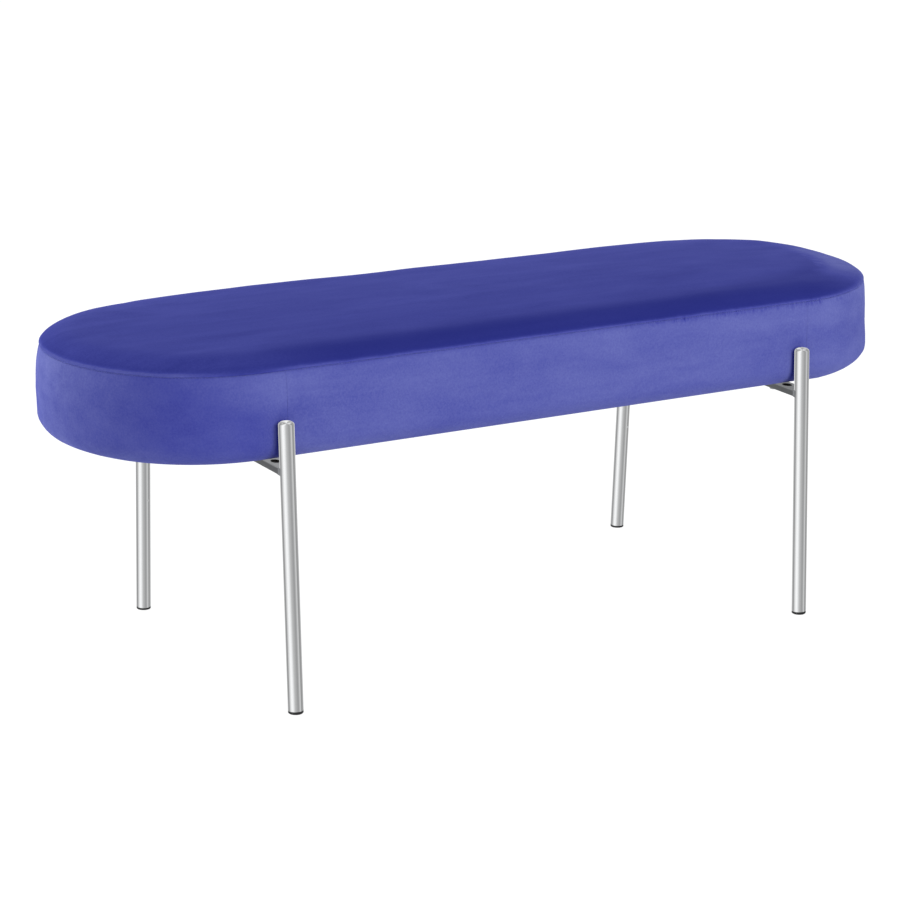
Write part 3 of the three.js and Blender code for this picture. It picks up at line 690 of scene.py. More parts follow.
def unevenly_filled(along, from_edge):
    """How far the shoulder of the top stands above or below its even height, round the plan: hand stuffing left
    it high at the rear of both ends and low beside them."""
    side, end = 2 * HALF_STRAIGHT, math.pi * END_RADIUS
    # Lifts in millimetres, by degrees round the two ends and by metres along the rear side
    on_right = [(-80, 0.0), (-60, -1.8), (-40, -2.6), (-15, -2.2), (3, -1.2), (20, 1.9), (38, 2.8), (58, 0.6),
                (78, -0.2)]
    on_rear = [(0.3, 0.1), (0.15, 0.6), (0.0, 1.3), (-0.15, 1.8), (-0.25, 2.5), (-0.33, 2.0), (-0.38, 0.8)]
    on_left = [(98, -1.4), (108, -1.0), (120, 0.0), (140, 0.6), (165, 0.6), (185, 0.0)]
    table = [(side + end * (a + 90) / 180, lift) for a, lift in on_right]
    table += [(side + end + HALF_STRAIGHT - x, lift) for x, lift in on_rear]
    table += [(2 * side + end + end * (a - 90) / 180, lift) for a, lift in on_left]
    places, lifts = zip(*table)
    across = bell(from_edge - 28 * MM, 34 * MM) * ramp(from_edge, 0, 14 * MM)
    return np.interp(np.mod(along, perimeter()), places, lifts) * MM * across


def thicken(made, thickness):
    """Gives a cover its cloth thickness, inwards."""
    wall = made.modifiers.new("cloth", "SOLIDIFY")
    wall.thickness, wall.offset, wall.use_even_offset = thickness, -1.0, False
    return made


def stuffed(name, points, held, faces_kept=None):
    """Simulates a sheet of cloth held by its seams while the stuffing presses on it from behind, and returns
    where each point moves, as a share of the farthest move."""
    mesh = grid_mesh(name, points)
    if faces_kept is not None:
        work = bmesh.new()
        work.from_mesh(mesh)
        work.faces.ensure_lookup_table()
        lost = [work.faces[k] for k in np.flatnonzero(~faces_kept.reshape(-1))]
        bmesh.ops.delete(work, geom=lost, context="FACES_ONLY")
        work.to_mesh(mesh)
        work.free()
    holder = linked(name, mesh)
    scene = bpy.context.scene
    pins = holder.vertex_groups.new(name="held")
    pins.add(np.flatnonzero(held.reshape(-1)).tolist(), 1.0, "REPLACE")
    cloth = holder.modifiers.new("cloth", "CLOTH")
    cloth.settings.quality = 5
    cloth.settings.vertex_group_mass = "held"
    cloth.settings.use_pressure = True
    cloth.settings.uniform_pressure_force = 4
    cloth.settings.effector_weights.gravity = 0
    cloth.collision_settings.use_collision = False
    for frame_number in range(1, 21):
        scene.frame_set(frame_number)
    evaluated = holder.evaluated_get(bpy.context.evaluated_depsgraph_get())
    after = np.empty(points.size)
    evaluated.to_mesh().vertices.foreach_get("co", after)
    evaluated.to_mesh_clear()
    bpy.data.objects.remove(holder)
    scene.frame_set(1)
    moved = after.reshape(points.shape) - points
    return moved / np.linalg.norm(moved, axis=-1).max()


def looked_up(field, row, column):
    """Values of a field of vectors between its rows and columns."""
    row = np.clip(row, 0, field.shape[0] - 1.001)
    column = np.clip(column, 0, field.shape[1] - 1.001)
    r, c = row.astype(int), column.astype(int)
    a, b = (row - r)[..., None], (column - c)[..., None]
    low = field[r, c] * (1 - b) + field[r, c + 1] * b
    high = field[r + 1, c] * (1 - b) + field[r + 1, c + 1] * b
    return low * (1 - a) + high * a


def crown_swell(profile, points):
    """How the stuffing moves the top panel at the given points."""
    step = 10 * MM
    x = np.arange(-HALF_STRAIGHT - END_RADIUS, HALF_STRAIGHT + END_RADIUS + step, step)
    y = np.arange(-END_RADIUS, END_RADIUS + step, step)
    grid_x, grid_y = np.meshgrid(x, y)
    inset = END_RADIUS - np.hypot(np.maximum(np.abs(grid_x) - HALF_STRAIGHT, 0), grid_y)
    insets, heights = (np.array(v) for v in zip(*[p for p in profile if p[0] > PULL_IN]))
    lattice = np.stack([grid_x, grid_y, np.interp(inset, insets, heights)], axis=-1)
    inside = inset > PULL_IN
    kept = inside[:-1, :-1] | inside[1:, :-1] | inside[:-1, 1:] | inside[1:, 1:]
    moved = stuffed("crown_swell", lattice, inset < 10 * MM, kept)
    return looked_up(moved, (points[..., 1] - y[0]) / step, (points[..., 0] - x[0]) / step)


def past_seams(along):
    """How far places lie round the left end, and round the right end, from that end's front upright seam."""
    half = perimeter() / 2
    at = np.mod(along + half, perimeter()) - half - HALF_STRAIGHT
    return LEFT_SEAM - at, at - RIGHT_SEAM


def waves_along(along, size, seed):
    """Unevenness that changes only from place to place along the plan."""
    return waves(np.stack([along, 0 * along, 0 * along], axis=-1), size, seed)


def nap_and_light_on_top(along, inset, distance, outward):
    """How the pile lies on the top, with painted light: open and in painted shade over the roll that falls to the
    front, a painted highlight on the turned seam edge, and painted sheen along the rear roll and on the part of the
    right end that turns away."""
    place, _ = plan(along, inset)
    x = place[..., 0]
    left, _ = past_seams(along)
    loose = waves(np.concatenate([place, 0 * place[..., :1]], axis=-1) * np.array([0.5, 1, 1]), 0.05, 31)
    from_edge = np.maximum(inset - PULL_IN, 0)
    on_left, on_right = ramp(x, -0.30, -0.1), ramp(x, 0.44, 0.12)
    # Open pile and painted shade over the front roll, in a strip that is wider towards the right end
    facing_front = np.clip(outward @ np.array([0.22, -0.975]), 0, 1) ** 1.5 * ramp(x, -0.5, 0.2)
    wide = shelf(from_edge + 7 * MM * loose, 22 * MM + 40 * MM * ramp(x, 0.22, 0.2), 26 * MM)
    opened = facing_front * (0.07 * wide + 0.02 * bell(from_edge, 110 * MM))
    # Painted highlight on the turned edge above the seam, left out beside the left upright seam and added far round
    # the left end
    edge = (1.4 + 3.2 * on_left + 0.8 * waves_along(along, 0.022, 21)) * MM
    fall = (3.0 - 1.2 * on_left + 3.0 * on_right) * MM
    turned = (0.23 - 0.03 * on_left) * shelf(distance, edge, fall)
    turned *= 1 - bell(left - 50 * MM, 58 * MM)
    turned += 0.16 * bell(left - 402 * MM, 28 * MM) * bell(distance, 2.5 * MM)
    turned -= 0.02 * on_left * bell(distance - 11 * MM, 4 * MM)
    # Painted sheen: the roll along the rear is a little lighter, and more so at both ends
    to_rear = np.clip(outward[..., 1], 0, 1)
    rear = to_rear * shelf(from_edge, 20 * MM, 60 * MM) + to_rear * on_left * shelf(from_edge, 28 * MM, 14 * MM)
    rear += np.clip(outward[..., 1] * 1.4, 0, 1) * ramp(x, 0.2, 0.2) * bell(from_edge, 34 * MM)
    # Painted sheen where the roll on the right end turns away to the side, with painted light dashes inside
    turn = np.degrees(np.arctan2(outward[..., 1], outward[..., 0]))
    past_end = ramp(x, HALF_STRAIGHT, 40 * MM)
    painted_sheen_rim = 0.45 * bell(turn + 15, 30) * past_end * shelf(from_edge + 6 * MM * loose, 38 * MM, 16 * MM)
    broken = waves(np.stack([along, from_edge * 2, 0 * along], axis=-1), 0.016, 25)
    painted_light_dashes = np.clip(broken * 2.5 + 0.4, 0, 1) * bell(from_edge - 60 * MM, 6 * MM)
    painted_sheen_rim += 0.15 * bell(turn + 18, 30) * past_end * painted_light_dashes
    return 0.142 - opened + turned + 0.03 * rear + painted_sheen_rim


def gathered(x, outward, along, distance):
    """Where the stitches gather the cloth: along the front from past the middle to the right end, in patches."""
    patches = np.clip(0.65 + 0.6 * waves_along(along, 0.03, 41), 0, 1)
    towards_right = ramp(x, 0.08, 0.1) * ramp(x, 0.53, -0.06)
    front = np.clip(-outward[..., 1] * 2, 0, 1)
    return patches * front * (0.12 * ramp(x, -0.4, 0.1) + 0.88 * towards_right) * distance


def top_panel(sizes, material):
    """The crowned top of the cover. Its pile opens over the front and end roll, which is drawn deeper there with
    painted shade, and the turned edge just above the seam carries a painted highlight."""
    profile = crown_profile(sizes)
    along = around(4 * MM)
    points, outward = swept(along, profile)
    inset = np.array([p[0] for p in profile])[:, None] + 0 * along[None, :]
    distance = walked(profile)[:, None] + 0 * inset
    free = ramp(distance, 3 * MM, 14 * MM)[..., None]
    normal = facing(points, True)
    normal[inset > END_RADIUS - 8 * MM] = (0, 0, 1)
    height = sizes.surface_waves * (0.75 * waves(points * np.array([0.55, 1, 1]), 0.085, 1)
                                    + 0.35 * waves(points * np.array([0.35, 1, 1]), 0.028, 2))
    swell = crown_swell(profile, points)
    # The right end is stuffed a little softer, so its shoulder rounds off
    right_end = ramp(points[..., 0], HALF_STRAIGHT - 60 * MM, END_RADIUS + 20 * MM)
    rise = ramp(distance, 4 * MM, 40 * MM)
    rise = rise * rise * (3 - 2 * rise) * (1 - right_end)
    places = along[None, :] + 0 * inset
    points = points + free * (normal * height[..., None] + sizes.crown_fullness * swell)
    points[..., 2] += sizes.shoulder_fullness * rise + unevenly_filled(places, inset - PULL_IN)
    pile = {"nap": nap_and_light_on_top(places, inset, distance, outward),
            "gather": gathered(points[..., 0], outward, places, 0.5 * bell(distance, 4 * MM))}
    points = points + ends_filled(points, sizes)
    seam = np.stack([places, distance], axis=-1)
    mesh = weld(grid_mesh("top_panel_velvet", points, True, seam, pile))
    made = thicken(piece("top_panel_velvet", mesh, material, ["top_panel"]), sizes.cloth_thickness)
    return made


def band_swell(profile, start, total):
    """How the stuffing moves a length of band, by distance down its section and distance along."""
    step = 10 * MM
    columns = round(total / step)
    local = np.linspace(0, total, columns + 1)
    down = walked(profile)
    rows = round(down[-1] / step)
    even = np.linspace(down[-1], 0, rows + 1)
    insets, heights = (np.interp(even, down, [p[k] for p in profile]) for k in (0, 1))
    points, _ = swept(start + local, list(zip(insets, heights)))
    x, z = points[..., 0], points[..., 2]
    behind_leg = (np.abs(np.abs(x) - LEG_X) < 7 * MM) & (z < LEG_TOP) & (np.abs(points[..., 1]) > END_RADIUS / 2)
    held = behind_leg | (z < UNDERSIDE + 1 * MM)
    held[[0, -1]] = True
    held[:, [0, -1]] = True
    moved = stuffed("band_swell", points, held)
    return lambda distance, place: looked_up(moved, (1 - distance / down[-1]) * rows, place / total * columns)


def painted_shadow_behind_legs(points):
    """The painted contact shadow of a leg on the band: full behind the tube, soft round it, and less where the band
    turns under and away."""
    x, z = points[..., 0], points[..., 2]
    recess = END_RADIUS - np.abs(points[..., 1])
    corner = 8 * MM
    aside = np.abs(np.abs(x) - LEG_X) - 8.6 * MM
    above = z - LEG_TOP + 1 * MM
    past = np.hypot(np.maximum(aside + corner, 0), np.maximum(above + corner, 0)) - corner
    soft = 3.6 * MM + 0.35 * recess + 3.4 * MM * ramp(z, LEG_TOP - 6 * MM, 6 * MM)
    contact_shadow = np.clip(0.5 - past / soft, 0, 1) * ramp(recess, 22 * MM, -22 * MM)
    return contact_shadow * (recess < UNDER_EDGE) * ramp(z, UNDERSIDE, 3 * MM)


def nap_and_light_round_left(left, from_seam, loose):
    """What the left end adds to the lean of the band's pile: painted shade on the part of the end that faces front and
    to the left, deepest low down just round from the upright seam; a lighter slanting brushed edge; and painted sheen
    towards the rear, where the end turns edge-on."""
    quarter = perimeter() / 4
    # Painted shade where the left end faces front and to the left
    painted_shade_on_end = 0.19 * bell(left - 140 * MM, 125 * MM) + 0.02 * bell(left - 42 * MM, 40 * MM)
    painted_shade_on_end += 0.075 * bell(left - 42 * MM, 32 * MM) * ramp(from_seam, 30 * MM, 24 * MM)
    slant = 70 * MM - 0.457 * left + 7 * MM * loose
    brushed = 0.085 / (1 + np.exp((from_seam - slant) / (5 * MM))) * ramp(left, 165 * MM, -40 * MM)
    # Painted sheen, lighter towards the rear where the end turns edge-on
    far_left = ramp(left, 240 * MM, 100 * MM) * (left < quarter)
    flat = far_left * (0.02 + 0.08 * shelf(from_seam, 26 * MM, 24 * MM))
    flat += 0.05 * bell(left - 250 * MM, 50 * MM) * bell(from_seam, 24 * MM)
    flat += 0.075 * ramp(left, 280 * MM, 50 * MM)
    flat += 0.035 * bell(left - 225 * MM, 40 * MM) * bell(from_seam - 16 * MM, 16 * MM)
    return ramp(left, -5 * MM, 10 * MM) * (brushed - painted_shade_on_end + flat) * (left < quarter + 100 * MM)


def nap_and_light_round_right(right, from_seam):
    """What the right end adds: painted sheen, lighter the farther round, most of all near the top, and a little darker
    just round from its upright seam near the top.
    """
    high = shelf(from_seam, 32 * MM, 12 * MM)
    flat = ramp(right, -15 * MM, 60 * MM) * (0.018 + 0.04 * high)
    flat += ramp(right, 80 * MM, 40 * MM) * (0.035 + 0.06 * high) + 0.08 * ramp(right, 130 * MM, 40 * MM)
    opened = 0.05 * bell(right - 20 * MM, 22 * MM) * ramp(from_seam, 26 * MM, -26 * MM)
    return flat * (right < perimeter() / 4) - opened


def nap_and_light_on_band(points, along, to_end, from_seam):
    """How the pile lies on a band: one way all along the front, otherwise round the two ends, with painted light on
    the lower rim, painted shade under the long seam and round the legs' tops, and a painted contact shadow behind each
    leg."""
    x, z = points[..., 0], points[..., 2]
    left, right = past_seams(along)
    loose = waves(points, 0.035, 33)
    lean = 0.42 + nap_and_light_round_left(left, from_seam, loose) + nap_and_light_round_right(right, from_seam)
    # Painted light on the lower rim
    painted_light_low_rim = bell(z - UNDERSIDE - 3 * MM, (10 + 6 * ramp(left, 0, 150 * MM)) * MM)
    painted_light_low_rim *= 1 + 1.1 * ramp(left, 125 * MM, 60 * MM) * (left < perimeter() / 4 + 60 * MM)
    mottled = bell(left + 17 * MM, 9 * MM) * ramp(z, LEG_TOP, 14 * MM) * (0.6 + 0.8 * loose)
    seam_width = (4 + 4 * bell(left - 40 * MM, 50 * MM)) * MM
    # Painted shade under the long seam and round the legs' tops
    painted_shade_under_seam = bell(from_seam, seam_width) * ramp(left, 130 * MM, -130 * MM) * ramp(right, 60 * MM, -60 * MM)
    painted_shade_over_leg = bell(np.abs(x) - LEG_X, 13 * MM) * bell(z - LEG_TOP - 4 * MM, 11 * MM)
    lean += 0.09 * painted_light_low_rim - 0.05 * mottled - 0.08 * painted_shade_under_seam - 0.01 * bell(to_end, 3 * MM) - 0.11 * painted_shade_over_leg
    # Painted contact shadow behind each leg
    return lean * (1 - 0.95 * painted_shadow_behind_legs(points))


def band(name, node_name, start, stop, sizes, material):
    """One length of the side band, between two upright seams, from its hem up to the long seam."""
    total = stop - start
    margin = np.array([0.0, 0.4, 0.8, 1.3, 1.9, 2.6, 3.5, 5.0]) * MM
    inner = np.linspace(8 * MM, total - 8 * MM, round((total - 16 * MM) / (4 * MM)))
    # Closer columns beside the front legs, for the painted contact shadow behind each tube
    beside = np.array([2.5, 4.5, 6, 6.8, 7.6, 8.4, 9.4, 10.5, 11.5]) * MM
    beside = np.concatenate([-beside, beside])
    legs = np.concatenate([np.mod(HALF_STRAIGHT + x + beside - start, perimeter()) for x in (-LEG_X, LEG_X)])
    legs = legs[(legs > 9 * MM) & (legs < total - 9 * MM)]
    local = np.unique(np.concatenate([margin, inner, total - margin, legs]))
    profile = band_profile(sizes)
    swell = band_swell(profile, start, total)
    points, outward = swept(start + local, profile[::-1])
    normal = facing(points, False)
    x, z = points[..., 0], points[..., 2]
    from_seam = walked(profile)[::-1][:, None] + 0 * x
    place = local[None, :] + 0 * x
    inset = np.array([p[0] for p in profile[::-1]])[:, None] + 0 * x
    free = ramp(from_seam, 2 * MM, 12 * MM) * ramp(z, UNDERSIDE, 12 * MM)
    height = sizes.surface_waves * (0.7 * waves(points, 0.075, 5) + 0.3 * waves(points, 0.024, 6)) * free
    # The cloth rolls in to its upright seams
    to_end = np.minimum(local, total - local)[None, :] + 0 * x
    roll = 1.6 * MM
    height = height - sizes.upright_groove * (1 - np.sqrt(1 - ramp(to_end, roll, -roll) ** 2))
    # Where the tube touches, the cloth stays where it is
    touched = bell(np.abs(x) - LEG_X, 11 * MM) * (z < LEG_TOP + 10 * MM) * (np.abs(points[..., 1]) > END_RADIUS / 2)
    height = np.where(height > 0, height * (1 - touched), height)
    points = points + normal * height[..., None] + sizes.band_fullness * swell(from_seam, place)
    points[..., 2] += drawn_up(points, inset)
    pile = {"nap": nap_and_light_on_band(points, start + place, to_end, from_seam),
            "gather": gathered(x, outward, start + place, shelf(from_seam, 2 * MM, 5 * MM))}
    points = points + ends_filled(points, sizes)
    seam = np.stack([start + place, from_seam], axis=-1)
    mesh = grid_mesh(name, points, False, seam, pile)
    made = thicken(piece(name, mesh, material, [node_name]), sizes.cloth_thickness)
    return made


class BENCH_OT_velvet_cover(bpy.types.Operator):
    """Makes the crowned top panel and the four lengths of band"""

    bl_idname = "bench.velvet_cover"
    bl_label = "Velvet cover"

    def execute(self, context):
        sizes = context.scene.bench_sizes
        material = finish("velvet_cut_pile_polyester", velvet)
        top_panel(sizes, material)
        side, end = 2 * HALF_STRAIGHT, math.pi * END_RADIUS
        gap = 0.01 * MM
        left, right = HALF_STRAIGHT + LEFT_SEAM, HALF_STRAIGHT + RIGHT_SEAM
        rear_right, rear_left = side + end + (side - right), side + end + (side - left)
        for node_name, start, stop in (
                ("front_band", left, right), ("right_end_band", right, rear_right),
                ("rear_band", rear_right, rear_left), ("left_end_band", rear_left, perimeter() + left)):
            band(node_name + "_velvet", node_name, start + gap, stop - gap, sizes, material)
        return {"FINISHED"}


def foam_form(name, node_name, profile, material):
    """A closed foam form from a section that starts and ends on the middle line of the plan."""
    sizes = bpy.context.scene.bench_sizes
    points, _ = swept(around(9 * MM), profile)
    inset = np.array([p[0] for p in profile])[:, None] - sizes.cloth_thickness - 1.0 * MM
    points[..., 2] += drawn_up(points, inset)
    points = points + ends_filled(points, sizes)
    work = bmesh.new()
    work.from_mesh(weld(grid_mesh(name, points, True), 0.02 * MM))
    mesh = solid_mesh(name, work, 50)
    made = piece(name, mesh, material, [node_name])
    return made


class BENCH_OT_foam(bpy.types.Operator):
    """Makes the soft topper and the firm core under the cover"""

    bl_idname = "bench.foam"
    bl_label = "Foam"

    def execute(self, context):
        sizes = context.scene.bench_sizes
        gap = sizes.cloth_thickness + 1.0 * MM
        topper_low, core_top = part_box("foam_topper")[0].z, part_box("foam_core")[1].z
        core_rest = BOARD_TOP + 0.3 * MM
        lip_inset = END_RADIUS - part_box("seat_board")[1].y - 0.6 * MM
        crown = [(inset + 0.7 * gap, z - gap) for inset, z in crown_profile(sizes) if z > SEAM + gap + 2 * MM]
        sides = [(inset + gap, z) for inset, z in band_profile(sizes) if z < SEAM - 2 * MM]
        upper = [p for p in sides if p[1] > topper_low + 3 * MM]
        shoulder = upper[-1][0]
        topper = [(END_RADIUS, crown[-1][1])] + crown[::-1][1:] + upper
        topper += [(shoulder, topper_low + 2 * MM), (shoulder + 2 * MM, topper_low), (END_RADIUS, topper_low)]
        lower = [p for p in sides if p[1] < core_top - 3 * MM and p[0] < lip_inset and p[1] > UNDERSIDE + gap]
        core = [(END_RADIUS, core_top), (shoulder + 2 * MM, core_top), (shoulder, core_top - 2 * MM), *lower]
        core += [(lip_inset, lower[-1][1]), (lip_inset, core_rest), (END_RADIUS, core_rest)]
        soft, firm = finish("polyurethane_foam_soft", soft_foam), finish("polyurethane_foam_firm", firm_foam)
        foam_form("foam_topper_soft", "foam_topper", topper, soft)
        foam_form("foam_core_firm", "foam_core", core, firm)
        return {"FINISHED"}


class BENCH_OT_dust_cover(bpy.types.Operator):
    """Makes the black dust cover, hemmed and slightly slack between its staples"""

    bl_idname = "bench.dust_cover"
    bl_label = "Dust cover"

    def execute(self, context):
        sizes = context.scene.bench_sizes
        edge = END_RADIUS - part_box("dust_cover")[1].y
        hem = 12 * MM
        profile = [(edge + hem, SHEET_TOP), (edge + hem / 2, SHEET_TOP), (edge + 0.6 * MM, SHEET_TOP),
                   (edge, (SHEET_TOP + SHEET_LOW) / 2), (edge + 0.6 * MM, SHEET_LOW)]
        steps = 30
        profile += [(edge + (END_RADIUS - edge) * (k / steps) ** 1.15, SHEET_LOW) for k in range(1, steps + 1)]
        along = around(6 * MM)
        points, _ = swept(along, profile)
        inset = np.array([p[0] for p in profile])[:, None] - edge + 0 * along[None, :]
        # Held up at the staples and on both rails; slack and finely creased between them
        from_rail = np.abs(np.abs(points[..., 0]) - LEG_X)
        held = ramp(from_rail, sizes.rail_width / 2, 60 * MM) ** 0.8 * ramp(inset, 6 * MM, 50 * MM)
        creases = np.abs(waves(points * np.array([1, 1, 0]), 0.05, 9)) + 0.4 * np.abs(waves(points, 0.016, 10))
        scallop = 0.5 - 0.5 * np.cos(2 * math.pi * along / sizes.staple_pitch)[None, :]
        near_edge = bell(inset - 22 * MM, 14 * MM) * scallop * ramp(from_rail, 20 * MM, 20 * MM)
        drop = sizes.sheet_sag * (held * (0.55 + 0.5 * creases) + 0.16 * near_edge)
        # The turned hem lies flat against the board
        drop[:5] = 0
        points[..., 2] -= np.maximum(drop, 0)
        mesh = weld(grid_mesh("dust_cover_cambric", points, True), 0.01 * MM)
        made = piece("dust_cover_cambric", mesh, finish("polypropylene_spun_bonded", spun_bonded),
                     ["dust_cover"])
        wall = made.modifiers.new("cloth", "SOLIDIFY")
        wall.thickness, wall.offset = 0.25 * MM, 0.0
        return {"FINISHED"}


# Repeated pieces and the tubes, by Geometry Nodes

def new_tree(name, **kinds):
    """A modifier tree with a geometry input and named inputs, listed under their kind of socket."""
    tree = bpy.data.node_groups.new(name, "GeometryNodeTree")
    tree.interface.new_socket("Geometry", in_out="INPUT", socket_type="NodeSocketGeometry")
    for kind, labels in kinds.items():
        for label in labels:
            tree.interface.new_socket(label, in_out="INPUT", socket_type="NodeSocket" + kind)
    tree.interface.new_socket("Geometry", in_out="OUTPUT", socket_type="NodeSocketGeometry")
    return tree, node(tree, "NodeGroupInput").outputs


def close_tree(tree, result, material):
    """Ends a tree in real faces with their material."""
    real = node(tree, "GeometryNodeRealizeInstances", {0: result})
    dressed = node(tree, "GeometryNodeSetMaterial", {0: real, "Material": material})
    node(tree, "NodeGroupOutput", {0: dressed})
    return tree


def plain(holder):
    """The evaluated shape of an object as a plain mesh; the object is removed."""
    mesh = bpy.data.meshes.new_from_object(holder.evaluated_get(bpy.context.evaluated_depsgraph_get()))
    bpy.data.objects.remove(holder)
    return mesh


def grown(name, tree, values, points=()):
    """Runs a tree on a mesh of bare points with those inputs, and returns the result as a plain mesh."""
    seed = bpy.data.meshes.new(name)
    seed.from_pydata([tuple(p) for p in points], [], [])
    holder = linked(name, seed)
    step = holder.modifiers.new(name, "NODES")
    step.node_group = tree
    for item in tree.interface.items_tree:
        if item.in_out == "INPUT" and item.name in values:
            step[item.identifier] = values[item.name]
    mesh = plain(holder)
    mesh.name = name
    return mesh


def stadium_path(tree, inlet):
    """Nodes for a closed path with round ends, resampled at the pitch."""
    radius = inlet["End Radius"]
    width = node(tree, MATH, {0: inlet["Straight"], 1: radius}, operation="ADD")
    whole = node(tree, MATH, {0: width, 1: radius}, operation="ADD")
    across = node(tree, MATH, {0: radius, 1: 2.0}, operation="MULTIPLY")
    box = node(tree, "GeometryNodeCurvePrimitiveQuadrilateral", {"Width": whole, "Height": across})
    # A hair under half the width, which Fillet Curve needs to round all four corners alike
    almost = node(tree, MATH, {0: radius, 1: 0.9995}, operation="MULTIPLY")
    rounding = {0: box, "Count": 48, "Radius": almost, "Limit Radius": True}
    ends = node(tree, "GeometryNodeFilletCurve", rounding, mode="POLY")
    return node(tree, "GeometryNodeResampleCurve", {0: ends, "Length": inlet["Pitch"]}, mode="LENGTH")


def path_row_tree():
    """Repeats a small piece along the stadium path, turned to follow it, with a little random turn; the piece
    is left out near the two rails."""
    tree, inlet = new_tree(
        "row_along_the_seam", Object=["Piece"], Material=["Material"], Int=["Seed"],
        Float=["Straight", "End Radius", "Pitch", "Height", "Wander", "Rail X", "Clear"])
    kept = node(tree, "GeometryNodeCaptureAttribute", {0: stadium_path(tree, inlet)})
    kept.capture_items.new("VECTOR", "Tangent")
    feed(tree, kept, {1: node(tree, "GeometryNodeInputTangent")})
    raised = node(tree, "GeometryNodeSetPosition", {
        0: kept, "Offset": node(tree, JOIN_XYZ, {"Z": inlet["Height"]})})
    turned = node(tree, "FunctionNodeAlignRotationToVector", {"Vector": kept.outputs[1]}, axis="X", pivot_axis="Z")
    less = node(tree, MATH, {0: inlet["Wander"], 1: -1.0}, operation="MULTIPLY")
    wander = node(tree, "FunctionNodeRandomValue", {2: less, 3: inlet["Wander"], "Seed": inlet["Seed"]})
    spin = node(tree, "FunctionNodeAxisAngleToRotation", {"Axis": (0, 0, 1), "Angle": wander})
    spun = node(tree, "FunctionNodeRotateRotation", {0: turned, 1: spin}, rotation_space="LOCAL")
    place = node(tree, SPLIT_XYZ, {0: node(tree, "GeometryNodeInputPosition")})
    far = node(tree, MATH, {0: place.outputs["X"]}, operation="ABSOLUTE")
    off = node(tree, MATH, {0: far, 1: inlet["Rail X"]}, operation="SUBTRACT")
    off = node(tree, MATH, {0: off}, operation="ABSOLUTE")
    clear = node(tree, "FunctionNodeCompare", {0: off, 1: inlet["Clear"]}, operation="GREATER_EQUAL")
    shape = node(tree, "GeometryNodeObjectInfo", {"Object": inlet["Piece"], "As Instance": True})
    row = node(tree, "GeometryNodeInstanceOnPoints", {
        0: raised, "Selection": clear, "Instance": shape.outputs["Geometry"], "Rotation": spun})
    return close_tree(tree, row, inlet["Material"])


def on_points_tree():
    """Sets one piece on each point of a mesh, turned at random as the driver left it."""
    tree, inlet = new_tree("piece_on_each_point", Object=["Piece"], Int=["Seed"], Material=["Material"])
    turn = node(tree, "FunctionNodeRandomValue", {2: 0.0, 3: 2 * math.pi, "Seed": inlet["Seed"]})
    spin = node(tree, "FunctionNodeAxisAngleToRotation", {"Axis": (0, 0, 1), "Angle": turn})
    shape = node(tree, "GeometryNodeObjectInfo", {"Object": inlet["Piece"], "As Instance": True})
    placed = node(tree, "GeometryNodeInstanceOnPoints", {
        0: inlet["Geometry"], "Instance": shape.outputs["Geometry"], "Rotation": spin})
    return close_tree(tree, placed, inlet["Material"])


